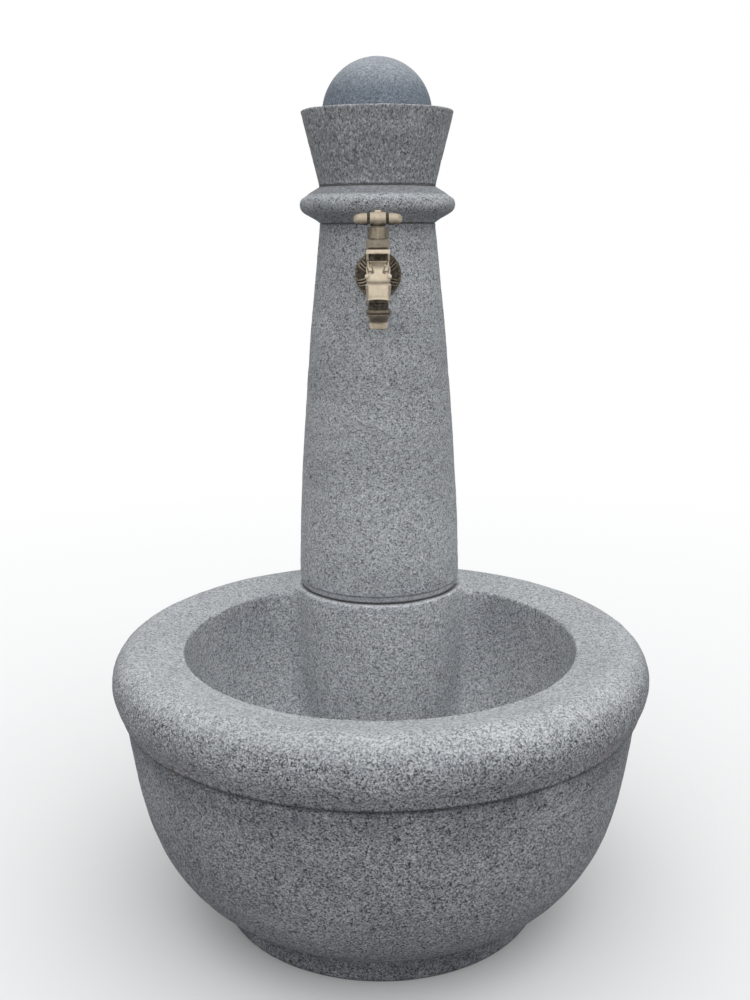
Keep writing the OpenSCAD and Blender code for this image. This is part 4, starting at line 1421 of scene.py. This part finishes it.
@dataclass
class Tap:
    """The bib tap: rosette, body with its curved spout, bonnet, gland nut, handle and nozzle."""

    finishes: dict[Slot, Material]
    tap_z: float = 714.0
    seat_y: float = 121.69
    rosette_r: float = 27.0
    rosette_t: float = 8.6
    spindle_y: float = 70.0947
    spout_y: float = 38.0947
    bend_r: float = 16.0
    bend_z: float = 700.0
    sleeve_z: float = 687.0
    chest_top_z: float = 743.5
    washer_t: float = 1.5
    gland_z: float = 754.5
    gland_top_z: float = 768.0
    handle_z: float = 776.3
    blades: tuple[tuple[tuple[float, float, float], ...], ...] = (
        ((11.0, 65.5, 730.5), (10.8, 54.0, 724.0), (8.2, 42.0, 720.0)),
        ((12.4, 62.5, 725.0), (12.4, 52.0, 719.5), (11.0, 43.0, 716.5)),
        ((8.6, 52.0, 724.8), (8.4, 44.0, 723.0), (4.9, 36.5, 717.5)),
    )
    leaf_r: float = 19.6
    rib_gap: float = 3.5
    bead_ring: float = 24.6
    bead_r: float = 1.5
    bead_step: float = 20.0
    leaves: tuple[tuple[float, float, float], ...] = (
        (150.0, 136.0, 0.02),
        (207.0, 14.0, -0.02),
        (30.0, 44.0, -0.02),
        (-27.0, 166.0, 0.02),
        (268.0, 90.0, 0.0),
    )

    def seat(self, obj: Object, slot: Slot, node: str, body: Body = Body.FOUNTAIN) -> Object:
        """Gives a piece its slot's finish and seats it in place of its CAD node."""
        return finish_piece(obj, self.finishes[slot], slot, body, node)

    def rosette(self) -> Object:
        """Makes the rosette: a low dome with ribbed leaves and a ring of beads.

        The height over the column is a dome, plus for each leaf a bell whose ribs follow curved
        lines, plus the upper half of each bead's ball near the edge. The ribs' crests are rubbed
        bright, and the ground between them is dark.

        Returns:
            The piece.
        """
        edge, ground, a = self.rosette_r, 0.93, around(300)
        far = np.concatenate([np.linspace(2.0, 12.0, 8), np.linspace(12.5, edge - 0.7, 84)])[:, None]
        x, z = far * np.cos(a), far * np.sin(a)
        height = 2.2 + 2.6 * np.cos(np.clip(far / edge, 0.0, 1.0) * math.pi / 2.0) ** 0.8 + 0.0 * a
        height = height + 2.6 * rise(far, 15.0, 12.5)
        dark = np.full_like(height, ground)
        for turn, lie, bow in self.leaves:
            t, s = math.radians(turn), math.radians(lie)
            px, pz = x - self.leaf_r * math.cos(t), z - self.leaf_r * math.sin(t)
            along, across = px * math.cos(s) + pz * math.sin(s), -px * math.sin(s) + pz * math.cos(s)
            bend = across + bow * along * along
            leaf = np.exp(-((along / 6.4) ** 4) - (bend / 4.9) ** 4)
            ribs = 0.5 + 0.5 * np.cos(bend * FULL_TURN / self.rib_gap)
            height = height + leaf * 1.9 * ribs
            dark = np.minimum(dark, 1.0 - leaf * rise(ribs, 0.35, 0.8) * 0.84)
        beads = np.zeros_like(height)
        for turn in np.radians(np.arange(10.0, 370.0, self.bead_step)):
            gap = np.hypot(x - self.bead_ring * math.cos(turn), z - self.bead_ring * math.sin(turn))
            beads = np.maximum(beads, np.sqrt(np.maximum(self.bead_r**2 - gap * gap, 0.0)))
        height = np.minimum(height + beads * 1.1, self.rosette_t)
        dark = np.minimum(dark, ground - 0.5 * rise(beads, 0.7, 1.5))
        dark = np.minimum(dark, ground - 0.35 * rise(far, edge - 1.3, edge - 0.7))
        # Painted shadow of the tap's body: the rosette's right side is darker.
        dark = dark + (0.95 - dark) * 0.5 * rise(x, 4.0, 14.0)
        front = np.stack([x, self.seat_y - height, self.tap_z + z], 2)
        ring = np.array([[edge, 1.9], [edge, 0.9], [edge - 0.4, 0.15], [edge - 4.0, 0.0], [8.0, 0.0]])
        r, lift = ring[:, :1], ring[:, 1:]
        back = np.stack([r * np.cos(a), self.seat_y - lift + 0.0 * a, self.tap_z + r * np.sin(a)], 2)
        obj = Form("tap_rosette_relief").add(np.concatenate([front, back])).build()
        store(obj, "hollow", np.concatenate([dark.ravel(), np.full(r.size * a.size, 0.8), [0.0, 0.8]]))
        return self.seat(obj, Slot.BRONZE, "tap_rosette")

    def ornaments(self) -> tuple[list[Array], list[Array]]:
        """The leaves and curls at both sides of the spout's root.

        Each leaf is a tube along a quadratic curve, (1-u)^2 p0 + 2u(1-u) p1 + u^2 p2, that swells
        in its middle. Each curl is a tapering tube wound into a spiral round a small ball.

        Returns:
            The nets, and the middle lines of the leaves.
        """
        nets, lines = [], []
        u = np.linspace(0.0, 1.0, 36)[:, None]
        swell = np.sin(np.clip(u[:, 0] * 0.92 + 0.06, 0.0, 1.0) * math.pi) ** 0.6
        t = np.linspace(0.0, 1.0, 70)
        turn = math.radians(200.0) + t * math.radians(560.0)
        r = 4.6 - 3.0 * t
        for side in (-1.0, 1.0):
            for p0, p1, p2 in (np.array(blade) for blade in self.blades):
                curve = (1.0 - u) ** 2 * p0 + 2.0 * u * (1.0 - u) * p1 + u * u * p2
                lines.append(curve * np.array([side, 1.0, 1.0]))
                nets.append(swept(lines[-1], 0.35 + 0.95 * swell, 12))
            spiral = np.stack([side * (11.6 + 0.8 * t), 46.5 + r * np.cos(turn), 713.6 + r * np.sin(turn)], 1)
            nets.append(swept(spiral, 1.5 - 0.5 * t, 12))
            a = np.linspace(-1.45, 1.45, 18)
            knob = np.stack([3.5 * np.cos(a), 714.8 + 3.5 * np.sin(a)], 1)
            nets.append(turned(knob, around(32), side * 11.2, 43.6))
        return nets, lines

    def barrel(self) -> Array:
        """The barrel from the rosette to the chest, which flares towards the rosette.

        Returns:
            The net.
        """
        run = np.linspace(0.0, 1.0, 30)
        y = self.seat_y - 8.4 + (self.spindle_y - self.seat_y + 8.4) * run
        return swept(np.stack([0.0 * run, y, self.tap_z + 0.0 * run], 1), 11.2 + 1.4 * (1.0 - run) ** 3, 48)

    def chest(self) -> Array:
        """The upright chest: a bulb, a waist, a square recess in front and a flange.

        Returns:
            The net.
        """
        top = self.chest_top_z
        profile = outline(
            line(3.0, 698.0, 7.5, 698.4, 3), arc(0.0, 711.0, 13.4, -58.0, 30.0, 20),
            line(11.6, 719.5, 12.0, 727.6, 5), line(12.6, 729.6, 13.0, 731.6, 4),
            line(13.1, 732.2, 13.2, 738.2, 22), line(13.4, 739.2, 13.4, 742.2, 4),
            line(13.1, 742.9, 12.5, top, 3), line(10.0, top, 3.0, top, 3),
        )
        net = turned(profile, around(144), 0.0, self.spindle_y)
        recess = between(net[..., 2], 731.2, 731.8, 737.9, 738.3) * (np.abs(net[..., 0]) < 10.4)
        net[..., 1] += recess * np.maximum(self.spindle_y - 6.0 - net[..., 1], 0.0)
        return net

    def spout(self) -> Array:
        """The spout: level out of the chest, round a bend and down into the sleeve.

        Returns:
            The net.
        """
        level = self.bend_z + self.bend_r
        path = outline(
            line(70.0, level, 54.1, level, 30)[:-1],
            arc(self.spout_y + self.bend_r, self.bend_z, self.bend_r, 90.0, 180.0, 24),
            line(self.spout_y, self.bend_z, self.spout_y, self.bend_z - 11.0, 30)[1:],
        )
        share = np.linspace(0.0, 1.0, len(path))
        girth = np.interp(share, [0.0, 0.3, 0.5, 0.68, 1.0], [11.4, 11.4, 11.9, 12.4, 12.0])
        return swept(np.insert(path, 0, 0.0, 1), girth, 56)

    def sleeve(self) -> Array:
        """The tapering sleeve round the spout's end.

        Returns:
            The net.
        """
        low = self.sleeve_z
        profile = outline(
            line(4.0, 707.9, 12.4, 707.7, 3), arc(12.8, 706.2, 1.3, 80.0, 5.0, 5),
            line(14.0, 703.6, 13.4, 695.5, 7), line(12.9, 692.6, 12.6, 691.2, 3),
            line(12.0, 690.2, 11.6, 687.8, 4), line(11.4, low, 4.0, low, 4),
        )
        return turned(profile, around(72), 0.0, self.spout_y)

    def slant(self, y: Array) -> Array:
        """How much higher the sleeve's lip lies towards the front."""
        return 3.3 * np.clip((self.spout_y - y) / 13.5, 0.0, 1.0)

    def lip(self) -> Array:
        """The flared lip of the sleeve, which slants up towards the front.

        Returns:
            The net.
        """
        profile = outline(
            line(6.0, 691.4, 12.7, 691.0, 4),
            arc(12.35, 689.4, 1.2, 70.0, -70.0, 9),
            line(11.6, 688.2, 6.0, 688.4, 4),
        )
        net = turned(profile, around(72), 0.0, self.spout_y)
        net[..., 2] += self.slant(net[..., 1]) - 0.9 * (net[..., 2] > 688.0)
        net[..., 2] = np.maximum(net[..., 2], self.sleeve_z + 0.1)
        return net

    def patina_and_shade_mask(self, obj: Object, lines: list[Array]) -> Array:
        """How dark each place of the casting is.

        Dark are its hollows and the furrows beside the leaves, where patina lies. Painted shade
        lies on the recess under the flange with its posts and the edge beneath, the belt and sides of
        the sleeve, its mouth, what faces down, and the flanks. The crown over the spout is darker too.

        Args:
            obj: The casting.
            lines: The middle lines of the leaves.

        Returns:
            One number for each vertex.
        """
        places, normals = vertex_arrays(obj)
        x, y, z = places.T
        wide, front = np.abs(x), y < self.spindle_y
        near = np.min([np.linalg.norm(places[:, None] - path[None, ::3], axis=2).min(1) for path in lines], 0)
        recess = between(z, 730.6, 731.7, 738.4, 739.2) * rise(wide, 11.0, 10.2) * front
        rim = self.sleeve_z + 1.6 + self.slant(y)
        # Patina in the hollows and furrows; painted shade on the recess, its edge, the sleeve, its mouth,
        # undersides and flanks.
        return np.maximum.reduce([
            hollows(obj, 5, 4.2),
            0.85 * rise(near, 3.4, 1.7),
            2.0 * recess * rise(y, self.spindle_y - 11.6, self.spindle_y - 9.4),
            0.5 * bell(z, 729.2, 1.9) * front * (wide < 10.8),
            0.6 * rise(wide, 8.4, 11.0) * between(z, 722.0, 728.0, 738.0, 739.4),
            0.55 * between(z, 722.0, 727.0, 730.6, 731.6) * (y < 60.0),
            0.66 * bell(z, 708.8, 2.2) * (y < 58.0),
            0.7 * rise(wide, 9.2, 12.4) * rise(z, 708.0, 705.0) * (y < 60.0),
            1.1 * rise(z, rim - 0.2, rim - 1.4) * (0.4 + 0.6 * rise(wide, 11.2, 9.4)),
            0.6 * rise(normals[:, 2], 0.1, -0.9),
            0.35 * rise(np.abs(normals[:, 0]), 0.55, 1.0) * (z > 706.0) * (z < 735.0),
        ])

    def body(self) -> Object:
        """Makes the cast body, whose parts are grown together like a casting.

        A fine remesh joins the turned and swept parts, and the leaves and curls are laid on.

        Returns:
            The piece.
        """
        name = "tap_body_casting"
        form = Form(name)
        for part in (self.barrel, self.chest, self.spout, self.sleeve, self.lip):
            form.add(part())
        obj = form.build()
        remesh = obj.modifiers.new("grow together", "REMESH")
        remesh.mode, remesh.voxel_size = "VOXEL", 0.42 * MM
        soften = obj.modifiers.new("soften", "SMOOTH")
        soften.factor, soften.iterations = 0.5, 8
        settle(obj)
        nets, lines = self.ornaments()
        patina_and_shade_mask = self.patina_and_shade_mask(obj, lines)
        places, _ = vertex_arrays(obj)
        corners = np.empty(len(obj.data.loops), np.int64)
        obj.data.loops.foreach_get("vertex_index", corners)
        bpy.data.objects.remove(obj)
        whole = Form(name, [places], corners.reshape(-1, 4).tolist(), len(places))
        for net in nets:
            whole.add(net)
        obj = whole.build()
        _, normals = vertex_arrays(obj)
        # Painted shade: the leaves and curls darken on what faces down.
        hollow = 0.1 + 0.5 * rise(normals[:, 2], 0.2, -0.8)
        hollow[: len(patina_and_shade_mask)] = patina_and_shade_mask
        store(obj, "hollow", hollow)
        return self.seat(obj, Slot.AGED, "tap_body")

    def nut(
        self, name: str, corners: float, rows: Array, shoulders: tuple[float, float], inner: float
    ) -> Object:
        """Makes a six-sided nut with turned shoulders on the spindle's axis.

        The radius at an angle is the flat's distance over the cosine of the angle from the flat's
        middle, and a soft least holds it under a cone at each end. A level row closes each end.

        Args:
            name: The mesh object's name.
            corners: The size over the corners.
            rows: The heights of the rows.
            shoulders: How far the lower and the upper cone reach.
            inner: The radius of the level rows.

        Returns:
            The mesh object, with its corners sharp.
        """
        a, sixth = around(240), math.pi / 3.0
        flat = corners / 2.0 * math.cos(sixth / 2.0)
        side = flat / np.cos((a + sixth / 2.0) % sixth - sixth / 2.0)
        low, high = shoulders
        reach = np.minimum((rows - rows[0]) / low, (rows[-1] - rows) / high)[:, None]
        cone = flat - 0.9 + (corners / 2.0 - flat + 1.1) * np.clip(reach, 0.0, 1.0) ** 0.8
        r = soft_least(side[None, :] + 0.0 * cone, cone + 0.0 * side[None, :], 0.5)
        r = np.pad(r, ((1, 1), (0, 0)), constant_values=inner)
        z = np.pad(rows, 1, "edge")[:, None]
        net = np.stack([r * np.sin(a), self.spindle_y - r * np.cos(a), z + 0.0 * a], 2)
        obj = Form(name).add(net).build()
        obj.data.set_sharp_from_angle(angle=math.radians(38.0))
        return obj

    def dim(self, obj: Object, extra: Array) -> None:
        """Writes the darkness of a machined piece: painted shade on what faces down, and its own places."""
        _, normals = vertex_arrays(obj)
        # Painted shade on what faces down.
        store(obj, "hollow", np.maximum(0.65 * rise(normals[:, 2], 0.0, -0.95), extra))

    def bonnet(self) -> Object:
        """Makes the bonnet's hexagon, whose upper end slopes in to the gland nut.

        Returns:
            The piece.
        """
        low = self.chest_top_z + self.washer_t
        obj = self.nut("tap_bonnet_hex", 26.6, np.linspace(low, self.gland_z, 34), (1.3, 3.0), 8.0)
        places, _ = vertex_arrays(obj)
        # A brown patina all over, and painted shade at its foot over the washer.
        self.dim(obj, np.maximum(0.9 * rise(places[:, 2], low + 2.0, low + 0.2), 0.69))
        return self.seat(obj, Slot.AGED, "bonnet")

    def gland(self) -> Object:
        """Makes the tall gland nut: painted shade on its side facets, a painted highlight on its front.

        Returns:
            The piece.
        """
        low, top = self.gland_z, self.gland_top_z
        rows = np.linspace(low + 0.1, top - 0.1, 44)
        obj = self.nut("tap_gland_nut_hex", 23.6, rows, (0.9, 0.6), 7.0)
        places, _ = vertex_arrays(obj)
        x, _, z = places.T
        # Painted shade under the handle and at its foot over the bonnet.
        ends = np.maximum(0.9 * rise(z, top - 2.6, top - 0.4), 0.8 * rise(z, low + 1.3, low + 0.3))
        # Painted shade on the side facets, and a painted highlight down the middle of the front flat.
        facets = 0.68 + 0.22 * rise(np.abs(x), 5.6, 9.4) - 0.16 * bell(x, -0.4, 1.1)
        self.dim(obj, np.maximum(ends, facets))
        return self.seat(obj, Slot.AGED, "gland_nut")

    def handle(self) -> Object:
        """Makes the T-handle: a bar turned about its own length, with a barrel in its middle.

        The bar's radius runs from the rounded end over the full arm to a narrow groove, and then
        over a bevel to the barrel. A short boss joins it to the spindle.

        Returns:
            The piece.
        """
        middle = self.handle_z
        half = outline(
            [[26.9, 0.9], [26.7, 2.2], [26.1, 3.3], [25.0, 4.3], [23.4, 5.1], [21.0, 5.7], [18.0, 6.2]],
            [[15.5, 6.5], [13.0, 6.6], [12.1, 6.4], [11.5, 5.4], [11.2, 4.9], [9.4, 4.9], [9.0, 5.8]],
            [[8.6, 7.0], [7.6, 7.45], [4.5, 7.62], [0.0, 7.7]],
        )
        bar = even(np.concatenate([half, (half * [-1.0, 1.0])[::-1][1:]]), 0.33)
        a, along, r = around(96), bar[:, :1], bar[:, 1:]
        net = np.stack([along + 0.0 * a, self.spindle_y + r * np.cos(a), middle + r * np.sin(a)], 2)
        boss = outline(
            line(4.1, middle - 7.5, 7.2, middle - 7.5, 4), line(7.6, middle - 7.1, 7.6, middle - 3.3, 5),
            line(5.0, middle - 0.3, 4.1, middle - 0.3, 2),
        )
        obj = Form("tap_t_handle").add(net).add(turned(boss, around(64), 0.0, self.spindle_y)).build()
        places, _ = vertex_arrays(obj)
        x, y, z = places.T
        away = np.hypot(y - self.spindle_y, z - middle)
        groove = rise(np.abs(np.abs(x) - 10.3), 2.1, 1.4) * rise(away, 6.6, 5.6)
        # A base of patina, and painted shade on the bar's underside and the boss beneath it.
        low = 0.22 + 0.5 * rise(z, middle + 2.5, middle - 4.6) + 0.5 * rise(z, middle - 4.6, middle - 6.0)
        ends = 0.55 * rise(np.abs(x), 17.0, 26.0)
        self.dim(obj, np.maximum.reduce([1.15 * groove, low, ends]))
        return self.seat(obj, Slot.AGED, "tap_handle", Body.HANDLE)

    def nozzle(self) -> Object:
        """Makes the stepped hose nozzle as one closed outline turned round the spout's axis.

        Returns:
            The piece.
        """
        profile = outline(
            line(6.0, 659.4, 6.4, 658.6, 2), line(9.0, 658.5, 9.6, 659.0, 3),
            line(9.7, 659.6, 9.7, 665.2, 6), line(10.0, 665.5, 11.0, 672.2, 8),
            line(12.3, 672.5, 12.7, 672.9, 2), arc(12.5, 674.1, 1.1, -60.0, 60.0, 6),
            line(12.75, 675.4, 12.75, 675.8, 2),
            arc(12.9, 677.6, 1.75, -50.0, 50.0, 8) * [0.922, 1.0] + [1.03, 0.0],
            line(12.6, 679.4, 11.6, 679.5, 3), line(11.4, 679.9, 11.4, 682.2, 3),
            line(11.1, 682.5, 11.1, 683.1, 2), line(11.4, 683.4, 11.4, 686.6, 4),
            line(10.6, 686.8, 6.0, 686.8, 3), line(6.0, 680.0, 6.0, 664.0, 5),
        )
        net = turned(profile, around(96), 0.0, self.spout_y)
        obj = Form("hose_nozzle_steps").add(net, closed=True).build()
        obj.data.set_sharp_from_angle(angle=math.radians(50.0))
        places, _ = vertex_arrays(obj)
        x, y, z = places.T
        bright = 0.6 * bell(z, 672.9, 0.7) + 0.8 * rise(z, 666.2, 665.2)
        # Painted shade on the neck under the sleeve's lip, darkest in the middle.
        shaded_neck = 0.5 * rise(z, 679.2, 680.0) * (0.4 + 0.6 * rise(np.abs(x), 10.8, 9.2))
        dark = 0.64 + shaded_neck + 0.3 * bell(z, 675.6, 0.6) + 0.2 * between(z, 665.2, 666.2, 671.6, 672.6)
        # Painted shade inside the bore.
        bore = np.hypot(x, y - self.spout_y) < 6.6
        self.dim(obj, np.maximum(dark * (1.0 - np.clip(bright, 0.0, 1.0)), bore))
        return self.seat(obj, Slot.BRONZE, "hose_nozzle")

    def washer(self) -> Object:
        """Makes the fibre washer under the bonnet, set back a little behind the flange's edge.

        Returns:
            The piece.
        """
        low, high = self.chest_top_z, self.chest_top_z + self.washer_t
        profile = outline(
            line(9.0, low + 0.05, 11.4, low + 0.05, 4), line(11.7, low + 0.3, 11.7, high - 0.3, 3),
            line(11.4, high - 0.05, 9.0, high - 0.05, 4),
        )
        net = turned(profile, around(72), 0.0, self.spindle_y)
        obj = Form("tap_fibre_washer").add(net, closed=True).build()
        return self.seat(obj, Slot.FIBRE, "bonnet_washer")

    def build(self) -> None:
        """Makes all pieces of the tap."""
        for make in (self.rosette, self.body, self.washer, self.bonnet, self.gland, self.handle, self.nozzle):
            make()


@dataclass
class Studio:
    """The plain pale floor, the soft light and the camera at the photograph's angle.

    Lengths here are in metres and angles in degrees.
    """

    lens: float = 41.4
    place: tuple[float, float, float] = (-0.005, -1.2363, 0.7673)
    pitch: float = 13.34
    roll: float = -0.326
    sky_low: float = 0.42
    sky_high: float = 0.40
    patch_light: float = 1.55
    patch_height: float = 58.0
    patch_turn: float = 14.0
    floor_tones: tuple[float, float] = (0.78, 0.80)
    bounce_tone: float = 0.17
    fade: tuple[float, float] = (0.7, 2.2)

    def camera(self) -> None:
        """Places the camera, pitched down from the horizon and rolled about its own axis."""
        data = bpy.data.cameras.new("camera")
        data.lens, data.sensor_width, data.clip_end = self.lens, 36.0, 50.0
        obj = bpy.data.objects.new("camera", data)
        p, r = math.radians(self.pitch), math.radians(self.roll)
        ahead = Vector((0.0, math.cos(p), -math.sin(p)))
        right, up = Vector((1.0, 0.0, 0.0)), Vector((0.0, math.sin(p), math.cos(p)))
        across, over = right * math.cos(r) + up * math.sin(r), up * math.cos(r) - right * math.sin(r)
        turn = Matrix((across, over, -ahead)).transposed().to_4x4()
        obj.matrix_world = Matrix.Translation(self.place) @ turn
        bpy.context.scene.collection.objects.link(obj)
        bpy.context.scene.camera = obj

    def seen(self, board: Board) -> Socket:
        """1 for what the camera, a reflection or a clear body sees, and 0 for other light.

        Args:
            board: The tree's board.

        Returns:
            The mask.
        """
        path = board.add("LightPath").outputs
        both = board.math("MAXIMUM", path["Is Camera Ray"], path["Is Glossy Ray"])
        return board.math("MAXIMUM", both, path["Is Transmission Ray"])

    def world(self) -> None:
        """Lights the scene like a bright overcast sky and shows white behind the object.

        The sky is even, a little paler overhead, with a wide bright patch high in front: the cube
        of the cosine of the angle to the patch's middle.
        """
        world = bpy.data.worlds.new("overcast")
        board = blank_board(world)
        way = board.add("TexCoord").outputs["Generated"]
        high = board.add("SeparateXYZ", {0: way}).outputs["Z"]
        lean, turn = math.radians(self.patch_height), math.radians(self.patch_turn)
        patch = (math.sin(turn) * math.cos(lean), -math.cos(turn) * math.cos(lean), math.sin(lean))
        near = board.vector("DOT_PRODUCT", {0: way, 1: patch}, "Value")
        glow = board.times(board.math("POWER", board.math("MAXIMUM", near, 0.0), 3.0), self.patch_light)
        sky = board.plus(self.sky_low, board.times(board.math("MAXIMUM", high, 0.0), self.sky_high))
        strength = board.plus(sky, glow)
        light = board.add("Background", {"Color": (0.985, 0.995, 1.0, 1.0), "Strength": strength})
        white = board.add("Background", {"Color": (1.0, 1.0, 1.0, 1.0), "Strength": 1.0})
        mixed = board.add("MixShader", {0: self.seen(board), 1: light.outputs[0], 2: white.outputs[0]})
        board.add("OutputWorld", {"Surface": mixed.outputs[0]})
        bpy.context.scene.world = world

    def floor(self) -> None:
        """Lays the floor: pale where it is seen, greyer for bounced light, white far away."""
        a = around(96)
        r = np.array([0.2, 1.0, 3.0, 8.0, 20.0])[:, None]
        top = np.stack([r * np.sin(a), r * np.cos(a), -0.0004 + 0.0 * r * a], 2) / MM
        base = top[::-1] - np.array([0.0, 0.0, 20.0])
        obj = Form("floor").add(np.concatenate([top, base])).build()
        obj.data.polygons.foreach_set("use_smooth", [False] * len(obj.data.polygons))
        material = bpy.data.materials.new("pale_floor")
        board = blank_board(material)
        at = board.place()
        x, y, _ = board.add("SeparateXYZ", {0: at}).outputs
        away = board.math("SQRT", board.plus(board.times(x, x), board.times(y, y)))
        tint = board.mix(board.noise(at, 0.3, 3.0), *((tone,) * 3 for tone in self.floor_tones))
        pale = board.add("BsdfDiffuse", {"Color": tint})
        bounce = board.add("BsdfDiffuse", {"Color": (*(self.bounce_tone,) * 3, 1.0)})
        white = board.add("Emission", {"Color": (1.0, 1.0, 1.0, 1.0), "Strength": 1.0})
        far = board.span(away, *self.fade)
        mixed = board.add("MixShader", {0: far, 1: pale.outputs[0], 2: white.outputs[0]})
        mixed = board.add("MixShader", {0: self.seen(board), 1: bounce.outputs[0], 2: mixed.outputs[0]})
        board.add("OutputMaterial", {"Surface": mixed.outputs[0]})
        obj.data.materials.append(material)

    def build(self) -> None:
        """Sets up camera, world and floor."""
        self.camera()
        self.world()
        self.floor()
        bpy.context.scene.view_settings.view_transform = "Standard"


@dataclass
class Fittings:
    """The CAD nodes whose shape is right: they keep it and get a finish of their own."""

    finishes: dict[Slot, Material]

    def dress(self) -> None:
        """Gives each shown CAD node the material of its slot in the record."""
        for part in frame["record"]["subparts"]:
            node = frame["nodes"][part["node"]]
            if node.hide_render:
                continue
            material = self.finishes[Slot(part["material_slot"])]
            node.data.materials.clear()
            node.data.materials.append(material)
            log.info("%s keeps its shape, in %s", node.name, material.name)


def make_finishes() -> dict[Slot, Material]:
    """Makes one material for each slot of the record.

    Returns:
        The materials by slot.
    """
    finishes = {
        Slot.HAMMERED: GraniteFinish(
            "basin_granite", (0.400, 0.416, 0.438), grain=0.00145, relief=0.0012,
            spread=(0.50, 1.48), pit_shade_amount=0.75,
        ),
        Slot.SMOOTH: GraniteFinish(
            "honed_granite", (0.195, 0.230, 0.275), light=(0.42, 0.45, 0.48), relief=0.0004, contrast=0.7
        ),
        # Mortar in a darker grey than its own, painted as the shade that fills the joints.
        Slot.MORTAR: PlainFinish(
            "setting_mortar", (0.17, 0.17, 0.173), (0.10, 0.10, 0.102), grain=0.0015, rough=0.9, relief=0.0004
        ),
        Slot.STEEL: PlainFinish(
            "drawn_steel", (0.60, 0.61, 0.62), (0.42, 0.43, 0.44), grain=0.0008, rough=0.35, relief=0.00005,
            stretch=(1.0, 1.0, 0.1), metallic=1.0,
        ),
        Slot.COPPER: MetalFinish(
            "dull_copper", (0.62, 0.34, 0.22), (0.40, 0.21, 0.13), (0.12, 0.09, 0.06), rough=0.42
        ),
        Slot.BRASS: MetalFinish(
            "turned_brass", (0.58, 0.47, 0.28), (0.42, 0.33, 0.20), (0.16, 0.12, 0.07), rough=0.36
        ),
        Slot.RUBBER: PlainFinish(
            "black_rubber", (0.045, 0.045, 0.046), (0.02, 0.02, 0.02), grain=0.0012, rough=0.7, relief=0.0001
        ),
        Slot.FIBRE: PlainFinish(
            "brown_fibre", (0.105, 0.066, 0.050), (0.055, 0.036, 0.028), grain=0.0006, rough=0.75,
            relief=0.0001,
        ),
        Slot.YARN: PlainFinish(
            "waxed_yarn", (0.70, 0.66, 0.55), (0.42, 0.38, 0.30), grain=0.0006, rough=0.8, relief=0.0002,
            stretch=(1.0, 1.0, 3.0),
        ),
        Slot.AGED: MetalFinish(
            "worn_tap_brass", (0.78, 0.68, 0.53), (0.56, 0.47, 0.35), (0.050, 0.040, 0.030), rough=0.40
        ),
        Slot.BRONZE: MetalFinish(
            "browned_bronze", (0.60, 0.51, 0.385), (0.20, 0.155, 0.115), (0.024, 0.021, 0.018), rough=0.42
        ),
    }
    return {slot: finish.material() for slot, finish in finishes.items()}


def main() -> None:
    """Builds the studio, the stones, the tap and the fittings in order."""
    logging.basicConfig(level=logging.INFO, format="%(name)s: %(message)s")
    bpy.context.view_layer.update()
    finishes = make_finishes()
    Studio().build()
    Basin(finishes[Slot.HAMMERED]).build()
    capital = GraniteFinish("capital_granite", (0.356, 0.362, 0.376), contrast=0.62, streak=0.55)
    Column(
        GraniteFinish("shaft_granite", (0.446, 0.463, 0.483), contrast=0.75).material(),
        capital_finish=capital.material(),
        collar_finish=GraniteFinish("collar_granite", (0.470, 0.488, 0.511), contrast=0.85).material(),
        mortar=finishes[Slot.MORTAR],
    ).build()
    Ball(finishes[Slot.SMOOTH], Slot.SMOOTH).build()
    Tap(finishes).build()
    Fittings(finishes).dress()


if __name__ == "__main__":
    main()
